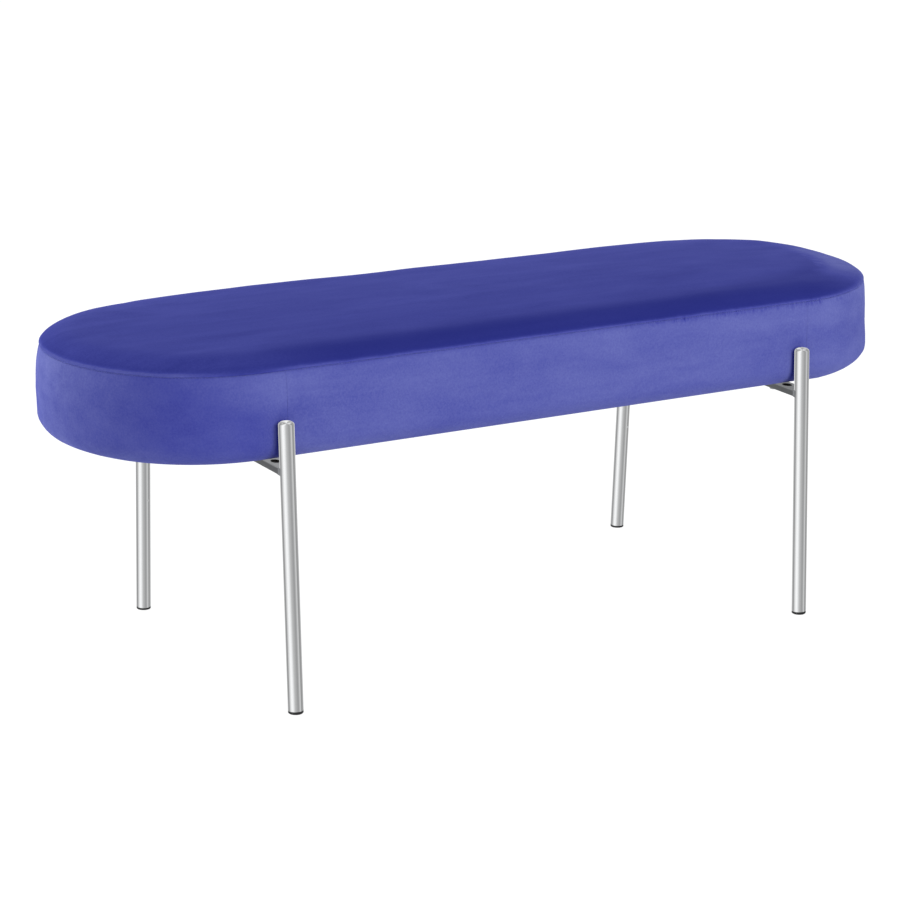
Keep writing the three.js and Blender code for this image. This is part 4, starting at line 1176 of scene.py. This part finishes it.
def leg_tube_tree():
    """A round tube with a closed, rounded top, its bore and the vent hole, leaned and set on its foot point."""
    tree, inlet = new_tree(
        "leg_tube", Vector=["Foot"], Material=["Material"],
        Float=["Radius", "Wall", "Length", "Start", "Rounding", "Vent Radius", "Vent Height", "Vent Turn", "Lean",
               "Half Turn"])
    bar = node(tree, CYLINDER, {
        "Vertices": 96, "Side Segments": 20, "Fill Segments": 1, "Radius": 1.0, "Depth": 1.0})
    place = node(tree, SPLIT_XYZ, {0: node(tree, "GeometryNodeInputPosition")}).outputs
    along = node(tree, MATH, {0: place["Z"], 1: 0.5}, operation="ADD")
    # The lower two fifths of the rows make the straight tube, the rest the dome that closes it
    straight = node(tree, MAP_RANGE, {0: along, 1: 0.0, 2: 0.4, 3: 0.0, 4: 1.0})
    angle = node(tree, MAP_RANGE, {0: along, 1: 0.4, 2: 1.0, 3: 0.0, 4: math.pi / 2})
    shoulder = node(tree, MATH, {0: inlet["Length"], 1: inlet["Rounding"]}, operation="SUBTRACT")
    shaft = node(tree, MATH, {0: shoulder, 1: inlet["Start"]}, operation="SUBTRACT")
    height = node(tree, MATH, {0: straight, 1: shaft, 2: inlet["Start"]}, operation="MULTIPLY_ADD")
    rise = node(tree, MATH, {0: angle}, operation="SINE")
    height = node(tree, MATH, {0: rise, 1: inlet["Rounding"], 2: height}, operation="MULTIPLY_ADD")
    # Fuller than an ellipse, so that the corner stays tight and the middle is only slightly domed
    across = node(tree, MATH, {0: angle}, operation="COSINE")
    full = node(tree, MATH, {0: across, 1: 0.85}, operation="POWER")
    radius = node(tree, MATH, {0: inlet["Radius"], 1: full}, operation="MULTIPLY")
    radius = node(tree, MATH, {0: radius, 1: 0.2 * MM}, operation="MAXIMUM")
    x, y = (node(tree, MATH, {0: place[axis], 1: radius}, operation="MULTIPLY") for axis in "XY")
    formed = node(tree, "GeometryNodeSetPosition", {
        0: bar, "Position": node(tree, JOIN_XYZ, {"X": x, "Y": y, "Z": height})})
    inner = node(tree, MATH, {0: inlet["Radius"], 1: inlet["Wall"]}, operation="SUBTRACT")
    depth = node(tree, MATH, {0: inlet["Length"], 1: inlet["Wall"]}, operation="SUBTRACT")
    half = node(tree, MATH, {0: depth, 1: 0.5}, operation="MULTIPLY")
    bore = node(tree, CYLINDER, {
        "Vertices": 48, "Side Segments": 1, "Fill Segments": 1, "Radius": inner, "Depth": depth})
    bore = node(tree, TRANSFORM, {0: bore, "Translation": node(tree, JOIN_XYZ, {"Z": half})})
    # The vent's drill lies level through one wall, and is then turned and raised to its place
    drill = node(tree, CYLINDER, {
        "Vertices": 32, "Side Segments": 1, "Fill Segments": 1, "Radius": inlet["Vent Radius"], "Depth": 12 * MM})
    drill = node(tree, TRANSFORM, {0: drill, "Rotation": (math.pi / 2, 0, 0), "Translation": (0, 10 * MM, 0)})
    drill = node(tree, TRANSFORM, {
        0: drill, "Rotation": node(tree, JOIN_XYZ, {"Z": inlet["Vent Turn"]}),
        "Translation": node(tree, JOIN_XYZ, {"Z": inlet["Vent Height"]})})
    tools = node(tree, "GeometryNodeJoinGeometry", {0: bore})
    feed(tree, tools, {0: drill})
    tube = node(tree, "GeometryNodeMeshBoolean", {0: formed, 1: tools}, operation="DIFFERENCE", solver="EXACT")
    less = node(tree, MATH, {0: inlet["Lean"], 1: -1.0}, operation="MULTIPLY")
    leaned = node(tree, TRANSFORM, {0: tube, "Rotation": node(tree, JOIN_XYZ, {"X": less})})
    turned = node(tree, TRANSFORM, {
        0: leaned, "Rotation": node(tree, JOIN_XYZ, {"Z": inlet["Half Turn"]}), "Translation": inlet["Foot"]})
    return close_tree(tree, turned, inlet["Material"])


def resharpened(mesh, smooth_under=40):
    """Smooth faces with sharp edges where the surface turns by more than smooth_under degrees."""
    work = bmesh.new()
    work.from_mesh(mesh)
    bmesh.ops.remove_doubles(work, verts=work.verts, dist=0.001 * MM)
    return solid_mesh(mesh.name, work, smooth_under)


class BENCH_OT_legs(bpy.types.Operator):
    """Makes the four chromed leg tubes with their vent holes"""

    bl_idname = "bench.legs"
    bl_label = "Legs"

    def execute(self, context):
        sizes = context.scene.bench_sizes
        material = finish("chromium_plated_drawn_tube", chrome)
        tree = leg_tube_tree()
        values = {
            "Radius": sizes.leg_diameter / 2, "Wall": sizes.leg_wall, "Lean": LEAN, "Start": sizes.glide_height,
            "Length": LEG_TOP / math.cos(LEAN) + 1.5 * MM, "Rounding": sizes.leg_rounding,
            "Vent Radius": sizes.vent_diameter / 2, "Vent Height": 160 * MM, "Vent Turn": math.radians(20),
            "Material": material}
        for label, foot in FEET.items():
            values["Half Turn"] = half_turn(label)
            values["Foot"] = tuple(foot)
            name = label + "_leg_tube"
            mesh = grown(name, tree, values)
            piece(name, resharpened(mesh, 30), material, [label + "_leg"])
        return {"FINISHED"}


def half_turn(label):
    """The rear legs are the front ones turned by half."""
    return math.pi if label.endswith("rear") else 0.0


def leg_frame(label):
    """Where a leg's own axis stands: its foot point, its half turn and its lean."""
    turn = Matrix.Rotation(half_turn(label), 4, "Z")
    return Matrix.Translation(FEET[label]) @ turn @ Matrix.Rotation(-LEAN, 4, "X")


class BENCH_OT_glides(bpy.types.Operator):
    """Makes the four black glides with their plugs inside the legs"""

    bl_idname = "bench.glides"
    bl_label = "Glides"

    def execute(self, context):
        sizes = context.scene.bench_sizes
        material = finish("polypropylene_moulded_black", moulded_plastic)
        head = sizes.leg_diameter / 2 - 0.2 * MM
        plug = sizes.leg_diameter / 2 - sizes.leg_wall - 0.3 * MM
        shoulder = sizes.glide_height - 0.15 * MM
        profile = [(0, -0.6 * MM), (head - 0.9 * MM, -0.6 * MM), (head, 0.9 * MM), (head, shoulder),
                   (plug, shoulder)]
        # Gripping ribs round the plug
        for k in range(4):
            base = shoulder + (2.2 + 3.4 * k) * MM
            profile += [(plug - 0.5 * MM, base), (plug, base + 1.2 * MM), (plug - 0.5 * MM, base + 2.0 * MM)]
        profile += [(plug - 0.8 * MM, shoulder + 16 * MM), (0, shoulder + 16 * MM)]
        for label in FEET:
            work = lathe(rounded(profile, 0.35 * MM, 3), 56)
            bmesh.ops.transform(work, matrix=leg_frame(label), verts=work.verts)
            # The sole stands flat on the floor
            for vert in work.verts:
                vert.co.z = max(vert.co.z, 0.0)
            bmesh.ops.remove_doubles(work, verts=work.verts, dist=0.001 * MM)
            name = label + "_glide_plastic"
            piece(name, solid_mesh(name, work, 35), material, [label + "_glide"])
        return {"FINISHED"}


def round_section(half_width, half_height, radius, steps=5):
    """Corners of a rounded rectangle, round the rail's axis."""
    corners = []
    for quadrant, (sx, sz) in enumerate(((1, 1), (-1, 1), (-1, -1), (1, -1))):
        for k in range(steps + 1):
            angle = math.pi / 2 * (quadrant + k / steps)
            corners.append((sx * (half_width - radius) + radius * math.cos(angle),
                            sz * (half_height - radius) + radius * math.sin(angle)))
    return corners


def drill(name, radius, low, high, sides, matrix):
    """An upright cylinder to cut with."""
    work = lathe([(0, low), (radius, low), (radius, high), (0, high)], sides)
    bmesh.ops.transform(work, matrix=matrix, verts=work.verts)
    return solid_mesh(name, work)


class BENCH_OT_rails(bpy.types.Operator):
    """Makes the two flat-tube cross rails with their welds, drain holes and bolt holes"""

    bl_idname = "bench.rails"
    bl_label = "Cross rails"

    def execute(self, context):
        sizes = context.scene.bench_sizes
        material = finish("chromium_plated_dull_tube", plated_rail)
        width, height = sizes.rail_width, sizes.rail_height
        middle = RAIL_TOP - height / 2
        leg_y = FEET["right_rear"].y - middle * math.tan(LEAN)
        reach = leg_y - 0.3 * MM
        wall = 1.5 * MM
        for side, x in zip(SIDES, (-LEG_X, LEG_X)):
            name = f"{side}_cross_rail"
            outer = solid_mesh(name, loft(bmesh.new(), self.outside(sizes, x, middle, reach)))
            hollow = round_section(width / 2 - wall, height / 2 - wall, 0.8 * MM)
            ends = [[(x + a, y, middle + b) for a, b in hollow] for y in (-reach + 13 * MM, reach - 13 * MM)]
            tools = [solid_mesh(name + "_hollow", loft(bmesh.new(), ends))]
            for sign, row in zip((-1, 1), ROWS):
                place = Matrix.Translation((x, sign * (leg_y - 33 * MM), 0)) @ Matrix.Diagonal((1, 1.35, 1, 1))
                drain = sizes.drain_diameter / 2
                tools.append(drill(name + "_drain", drain, middle, RAIL_TOP + 5 * MM, 40, place))
                cope = sizes.leg_diameter / 2 - 0.4 * MM
                tools.append(drill(name + "_cope", cope, 0, LEG_TOP, 72, leg_frame(f"{side}_{row}")))
            for bolt in BOLTS:
                low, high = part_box("right_bolt_" + bolt)
                place = Matrix.Translation((x, (low.y + high.y) / 2, 0))
                tools.append(drill(name + "_drill", 3.5 * MM, middle - 12 * MM, middle + 12 * MM, 32, place))
            made = piece(name + "_tube", cut(name + "_tube", outer, tools), material, [name])
            made.data.materials.append(finish("steel_unplated_inside", bare_steel))
            # Plating does not reach inside the tube and its holes
            for face in made.data.polygons:
                centre = face.center
                within_width = abs(centre.x - x) < width / 2 - 0.6 * MM
                within_height = abs(centre.z - middle) < height / 2 - 0.3 * MM
                within_length = abs(centre.y) < reach - 3 * MM
                face.material_index = int(within_width and within_height and within_length)
        return {"FINISHED"}

    def outside(self, sizes, x, middle, reach):
        """The rail's outside as sections, one after another. A ground fillet weld hollows down to each leg, and
        the last millimetres are ground in to the tube's width."""
        fillet = 6 * MM
        sections = []
        for k in range(-12, 13):
            part = max(abs(k) - 2, 0) / 10
            straight = min(reach * abs(k) / 2, reach - fillet)
            y = math.copysign(straight + fillet * math.sin(math.pi / 2 * part), k)
            flare = fillet / 4 * (1 - math.cos(math.pi / 2 * part))
            narrow = 2.4 * MM * ramp(abs(y), reach - 3.5 * MM, 3.5 * MM) ** 2
            section = round_section(sizes.rail_width / 2 - narrow, sizes.rail_height / 2 + flare, 1.2 * MM)
            sections.append([(x + a, y, middle + b - flare) for a, b in section])
        return sections


def repeated(name, work, tree, values, points, material, replaces=()):
    """Grows a piece that repeats a model, and removes the model."""
    model = linked(name + "_model", solid_mesh(name + "_model", work))
    mesh = grown(name, tree, {"Piece": model, "Material": material, **values}, points)
    bpy.data.objects.remove(model)
    return piece(name, mesh, material, replaces)


def along_seam(inset, height, pitch, **others):
    """Inputs for a row along the seam or any line beside it."""
    return {"Straight": 2 * HALF_STRAIGHT, "End Radius": END_RADIUS - inset, "Pitch": pitch, "Height": height,
            **others}


class BENCH_OT_fasteners(bpy.types.Operator):
    """Makes the machine screws, washers and flanged nuts that hold the rails to the board"""

    bl_idname = "bench.fasteners"
    bl_label = "Fasteners"

    def execute(self, context):
        material = finish("steel_zinc_plated", zinc_plate)
        tree = on_points_tree()
        for kind, work in (("bolt", self.screw()), ("washer", self.washer()), ("tee_nut", self.tee_nut())):
            nodes = [f"{side}_{kind}_{bolt}" for side in SIDES for bolt in BOLTS]
            places = [sum(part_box(name), Vector()) / 2 for name in nodes]
            points = [(p.x, p.y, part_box(nodes[0])[0].z) for p in places]
            repeated(f"{kind}_set", work, tree, {"Seed": len(kind)}, points, material, nodes)
        return {"FINISHED"}

    def screw(self):
        """Button-head machine screw: domed head down, hexagon socket, thread of 1 mm pitch."""
        low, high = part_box("right_bolt_front_outer")
        tall = high.z - low.z
        sides = 36
        rim_radius, edge, head = 5.25 * MM, 2.3 * MM, 3.3 * MM
        shank, root = 2.98 * MM, 2.5 * MM
        thread = []
        for k in range(int((tall - head) / MM) - 2):
            base = head + (1.5 + k) * MM
            thread += [(shank, base), (root, base + 0.5 * MM)]
        dome = [(rim_radius * math.cos(a), edge * (1 - math.sin(a))) for a in
                (math.radians(d) for d in (58, 48, 38, 28, 18, 9))]
        profile = [(rim_radius, edge), (rim_radius, 3.1 * MM), (5.05 * MM, head), (shank, head),
                   (shank, head + 1.2 * MM), *thread, (2.4 * MM, tall), (0, tall)]
        work = lathe(dome + profile, sides)
        rim = [v for v in work.verts if abs(v.co.z - dome[0][1]) < 1e-7 and v.is_boundary]
        rim.sort(key=lambda v: math.atan2(v.co.y, v.co.x))
        # The socket: from the round mouth in the dome to a hexagon 4 mm across, and down to its floor
        rings = [rim]
        for depth in (dome[0][1], 2.1 * MM):
            ring = []
            for vert in rim:
                angle = math.atan2(vert.co.y, vert.co.x)
                inner = 2.0 * MM / math.cos((angle + math.pi / 6) % (math.pi / 3) - math.pi / 6)
                ring.append(work.verts.new((inner * math.cos(angle), inner * math.sin(angle), depth)))
            rings.append(ring)
        for one, two in zip(rings, rings[1:]):
            for k in range(sides):
                after = (k + 1) % sides
                work.faces.new([one[k], one[after], two[after], two[k]])
        work.faces.new(rings[-1])
        return work

    def washer(self):
        """Flat washer with its stamped edges slightly rounded."""
        ring = [(3.3, 0.0), (6.9, 0.0), (7.0, 0.12), (7.0, 1.48), (6.9, 1.6), (3.3, 1.6), (3.2, 1.5), (3.2, 0.1)]
        return lathe([(r * MM, z * MM) for r, z in ring + ring[:1]], 40)

    def tee_nut(self):
        """Flanged nut with four prongs bent down from its flange into the board."""
        low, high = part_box("right_tee_nut_front_outer")
        tall = high.z - low.z
        bore, barrel, flange, sheet = 3.3 * MM, 3.9 * MM, 9.4 * MM, 1.4 * MM
        under = tall - sheet
        profile = [(bore, 0), (barrel, 0), (barrel, under - 0.5 * MM), (barrel + 0.5 * MM, under), (flange, under),
                   (flange, tall - 0.1 * MM), (flange - 0.1 * MM, tall), (bore, tall), (bore, 0)]
        work = lathe(profile, 40)
        tip = tall - 7 * MM
        for k in range(4):
            turn = Matrix.Rotation(math.pi / 2 * k + 0.3, 4, "Z")
            prong = [[turn @ Vector((radius * MM, half * MM, z)) for half, z in
                      ((-1.5, under), (1.5, under), (0.2, tip), (-0.2, tip))] for radius in (7.2, 8.1)]
            loft(work, prong)
        return work


class BENCH_OT_stitches(bpy.types.Operator):
    """Sews a row of thread into the groove of the long seam"""

    bl_idname = "bench.stitches"
    bl_label = "Seam stitches"

    def execute(self, context):
        sizes = context.scene.bench_sizes
        # A stitch swells from its ends to the middle: shares of its length and of its thickness
        swelling = [(-0.5, 0.35), (-0.32, 0.9), (0.0, 1.0), (0.32, 0.9), (0.5, 0.35)]
        turn = [math.pi / 3 * k for k in range(6)]
        radius = sizes.thread_thickness / 2
        loops = [[(sizes.stitch_length * t, radius * w * math.cos(a), radius * w * math.sin(a)) for a in turn]
                 for t, w in swelling]
        row = along_seam(PULL_IN + 0.75 * sizes.seam_groove, SEAM - 0.15 * MM, sizes.stitch_pitch, Wander=0.05,
                         Seed=3)
        thread = finish("polyester_bonded_thread", sewing_thread)
        made = repeated("seam_stitches", loft(bmesh.new(), loops), path_row_tree(), row, (), thread)
        # They follow the cushion where its ends are filled out
        places = np.empty(3 * len(made.data.vertices))
        made.data.vertices.foreach_get("co", places)
        places = places.reshape(-1, 3)
        made.data.vertices.foreach_set("co", (places + ends_filled(places, sizes)).reshape(-1))
        return {"FINISHED"}


class BENCH_OT_staples(bpy.types.Operator):
    """Drives the staples that hold the dust cover to the board"""

    bl_idname = "bench.staples"
    bl_label = "Staples"

    def execute(self, context):
        sizes = context.scene.bench_sizes
        half, wire, leg = sizes.staple_width / 2, 0.55 * MM, 7 * MM
        bend = 1.0 * MM
        centre = [(-half, 0, leg), (-half, 0, bend)]
        for angle in (math.radians(d) for d in (30, 60, 90)):
            centre.append((-half + bend * (1 - math.cos(angle)), 0, bend * (1 - math.sin(angle))))
        centre += [(-x, y, z) for x, y, z in centre[::-1]]
        across = Vector((0, 1, 0))
        turn = [math.pi / 3 * k for k in range(6)]
        loops = []
        for k, point in enumerate(centre):
            before, after = Vector(centre[max(k - 1, 0)]), Vector(centre[min(k + 1, len(centre) - 1)])
            # The wire is flattened to 0.55 of its width
            wide, thin = across * wire, (after - before).normalized().cross(across) * 0.55 * wire
            loops.append([Vector(point) + wide * math.cos(a) + thin * math.sin(a) for a in turn])
        inset = END_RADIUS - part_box("dust_cover")[1].y + 5.5 * MM
        row = along_seam(inset, SHEET_LOW - 0.35 * MM, sizes.staple_pitch, Wander=0.16, Seed=11)
        row.update({"Rail X": LEG_X, "Clear": sizes.rail_width / 2 + 8 * MM})
        zinc = finish("steel_zinc_plated", zinc_plate)
        repeated("dust_cover_staples", loft(bmesh.new(), loops), path_row_tree(), row, (), zinc)
        return {"FINISHED"}


class BENCH_OT_seat_board(bpy.types.Operator):
    """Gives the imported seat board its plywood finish"""

    bl_idname = "bench.seat_board"
    bl_label = "Seat board"

    def execute(self, context):
        board = frame["nodes"]["seat_board"]
        board.visible_glossy = False
        material = finish("birch_plywood_rotary_cut", plywood)
        for slot in board.material_slots:
            slot.material = material
        return {"FINISHED"}


# Stage

def softbox(name, place, aim, size, power, shade):
    """A square studio softbox turned towards a point."""
    lamp = bpy.data.lights.new(name, "AREA")
    lamp.shape, lamp.size, lamp.size_y = "RECTANGLE", size[0], size[1]
    lamp.energy, lamp.color = power, linear(shade)[:3]
    holder = linked(name, lamp)
    holder.location = place
    holder.rotation_euler = (Vector(aim) - Vector(place)).to_track_quat("-Z", "Y").to_euler()
    holder.visible_glossy = False


class BENCH_OT_stage(bpy.types.Operator):
    """Sets the camera, the softboxes, the white room and the pale floor"""

    bl_idname = "bench.stage"
    bl_label = "Stage"

    def execute(self, context):
        scene = context.scene
        scene.view_settings.view_transform = "Standard"
        self.camera(scene)
        self.room(scene)
        self.floor(scene)
        softbox("softbox_key", (0.5, -4.2, 1.6), (0.1, -0.1, 0.35), (1.5, 1.5), 90.0, "ffffff")
        softbox("softbox_left", (-2.8, 2.4, 1.0), (-0.3, 0, 0.35), (1.2, 1.6), 80.0, "ffffff")
        softbox("softbox_rear", (0.8, 3.4, 2.6), (0, 0, 0.4), (3.0, 1.5), 20.0, "ffffff")
        return {"FINISHED"}

    def camera(self, scene):
        """Stands where the fitted view was taken from."""
        yaw, pitch, roll = (math.radians(a) for a in (31.258, 17.0525, 0.6905))
        look = Vector((math.sin(yaw) * math.cos(pitch), math.cos(yaw) * math.cos(pitch), -math.sin(pitch)))
        right = Vector((math.cos(yaw), -math.sin(yaw), 0))
        up = right.cross(look)
        right, up = (math.cos(roll) * right + math.sin(roll) * up, math.cos(roll) * up - math.sin(roll) * right)
        lens = bpy.data.cameras.new("camera")
        lens.sensor_width, lens.lens = 36.0, 115.5015
        lens.shift_x, lens.shift_y = -0.0556, 0.0644
        lens.clip_start, lens.clip_end = 0.1, 60.0
        holder = linked("camera", lens)
        turn = Matrix((right, up, -look)).transposed()
        holder.matrix_world = Matrix.Translation((-1.92982, -3.2516, 1.30853)) @ turn.to_4x4()
        scene.camera = holder

    def room(self, scene):
        """Even light for the bench. The camera sees plain white. Metal sees a room that is brighter and dimmer
        by turns, which draws the lines along a bright tube."""
        world = bpy.data.worlds.new("studio")
        scene.world = world
        world.use_nodes = True
        tree = world.node_tree
        tree.nodes.clear()
        rays = node(tree, "ShaderNodeLightPath").outputs
        toward = node(tree, SPLIT_XYZ, {0: node(tree, "ShaderNodeTexCoord").outputs["Generated"]}).outputs
        turn = node(tree, MATH, {0: toward["Y"], 1: toward["X"]}, operation="ARCTAN2")
        share = node(tree, MATH, {0: turn, 1: 2 * math.pi}, operation="DIVIDE")
        wrapped = node(tree, MATH, {0: share}, operation="FRACT")
        walls = node(tree, "ShaderNodeValToRGB", {0: wrapped})
        high = node(tree, "ShaderNodeValToRGB", {0: wrapped})
        # How bright the room is by share of a turn round it
        stops = [(0.0, 0.44), (0.06, 0.55), (0.12, 0.95), (0.21, 0.95), (0.30, 0.52), (0.345, 0.42),
                 (0.372, 0.28), (0.44, 0.74), (0.52, 1.18), (0.58, 1.11), (0.66, 0.62), (0.74, 0.46),
                 (0.79, 0.39), (0.84, 0.56), (0.875, 0.80), (0.91, 0.52), (0.94, 0.32), (1.0, 0.44)]
        # Straight ahead and overhead the same lines lie close together, so they run on over the legs' tops
        overhead = [(0.0, 0.44), (0.085, 0.40), (0.128, 0.75), (0.142, 0.46), (0.154, 0.46), (0.163, 0.62),
                    (0.170, 1.0), (0.177, 1.15), (0.186, 1.0), (0.2, 0.8), (0.23, 0.5), (0.28, 0.5)]
        overhead += [stop for stop in stops if stop[0] > 0.29]
        for ramp_node, tones in ((walls, stops), (high, overhead)):
            elements = ramp_node.color_ramp.elements
            while len(elements) < len(tones):
                elements.new(0.5)
            for element, (where, bright) in zip(elements, tones):
                element.position = where
                element.color = (bright, bright, bright, 1.0)
        raised = node(tree, MAP_RANGE, {0: toward["Z"], 1: -0.1, 2: 0.2, 3: 0.0, 4: 1.0})
        tones = node(tree, MIX, {0: raised, 6: walls, 7: high}, data_type="RGBA")
        lit = node(tree, BACKGROUND, {"Color": linear("ffffff"), "Strength": 0.7})
        mirrored = node(tree, BACKGROUND, {"Color": tones, "Strength": 1.0})
        seen = node(tree, BACKGROUND, {"Color": linear("ffffff"), "Strength": 1.0})
        eye = node(tree, MATH, {0: rays["Is Camera Ray"], 1: rays["Is Transmission Ray"]}, operation="MAXIMUM")
        first = node(tree, "ShaderNodeMixShader", {0: rays["Is Glossy Ray"], 1: lit, 2: mirrored})
        last = node(tree, "ShaderNodeMixShader", {0: eye, 1: first, 2: seen})
        node(tree, "ShaderNodeOutputWorld", {"Surface": last})

    def floor(self, scene):
        """A pale floor that keeps the bench's soft shadow."""
        colours = scene.bench_colours
        work = bmesh.new()
        bmesh.ops.create_grid(work, x_segments=24, y_segments=24, size=14.0)
        mesh = solid_mesh("floor", work)
        if mesh.polygons[0].normal.z < 0:
            mesh.flip_normals()
        material = bpy.data.materials.new("painted_studio_floor")
        material.use_nodes = True
        tree = material.node_tree
        tree.nodes.clear()
        rays = node(tree, "ShaderNodeLightPath").outputs
        paint = node(tree, "ShaderNodeBsdfDiffuse", {"Color": tuple(colours.floor)})
        thin = node(tree, "ShaderNodeBsdfDiffuse", {"Color": (0.17, 0.17, 0.17, 1.0)})
        glow = node(tree, "ShaderNodeEmission", {"Color": linear("ffffff"), "Strength": 0.92})
        lifted = node(tree, "ShaderNodeAddShader", {0: thin, 1: glow})
        eye = node(tree, MATH, {0: rays["Is Camera Ray"], 1: rays["Is Transmission Ray"]}, operation="MAXIMUM")
        mixed = node(tree, "ShaderNodeMixShader", {0: eye, 1: paint, 2: lifted})
        node(tree, "ShaderNodeOutputMaterial", {"Surface": mixed})
        mesh.materials.append(material)
        ground = linked("floor", mesh)
        ground.visible_glossy = False


class BENCH_PT_panel(bpy.types.Panel):
    """Lists what the bench is made of"""

    bl_idname = "BENCH_PT_panel"
    bl_label = "Upholstered Bench"
    bl_space_type = "VIEW_3D"
    bl_region_type = "UI"
    bl_category = "Bench"

    def draw(self, context):
        for group in (context.scene.bench_sizes, context.scene.bench_colours):
            box = self.layout.box()
            for name in group.__annotations__:
                box.prop(group, name)
        for step in STEPS:
            self.layout.operator(step.bl_idname)


STEPS = (
    BENCH_OT_stage, BENCH_OT_velvet_cover, BENCH_OT_foam, BENCH_OT_dust_cover, BENCH_OT_seat_board, BENCH_OT_legs,
    BENCH_OT_glides, BENCH_OT_rails, BENCH_OT_fasteners, BENCH_OT_stitches, BENCH_OT_staples,
)
CLASSES = (BenchSizes, BenchColours, *STEPS, BENCH_PT_panel)


def register():
    for cls in CLASSES:
        bpy.utils.register_class(cls)
    bpy.types.Scene.bench_sizes = bpy.props.PointerProperty(type=BenchSizes)
    bpy.types.Scene.bench_colours = bpy.props.PointerProperty(type=BenchColours)


def unregister():
    del bpy.types.Scene.bench_colours
    del bpy.types.Scene.bench_sizes
    for cls in reversed(CLASSES):
        bpy.utils.unregister_class(cls)


def main():
    register()
    bpy.ops.bench.stage()
    bpy.ops.bench.velvet_cover()
    bpy.ops.bench.foam()
    bpy.ops.bench.dust_cover()
    bpy.ops.bench.seat_board()
    bpy.ops.bench.legs()
    bpy.ops.bench.glides()
    bpy.ops.bench.rails()
    bpy.ops.bench.fasteners()
    bpy.ops.bench.stitches()
    bpy.ops.bench.staples()


if __name__ == "__main__":
    main()
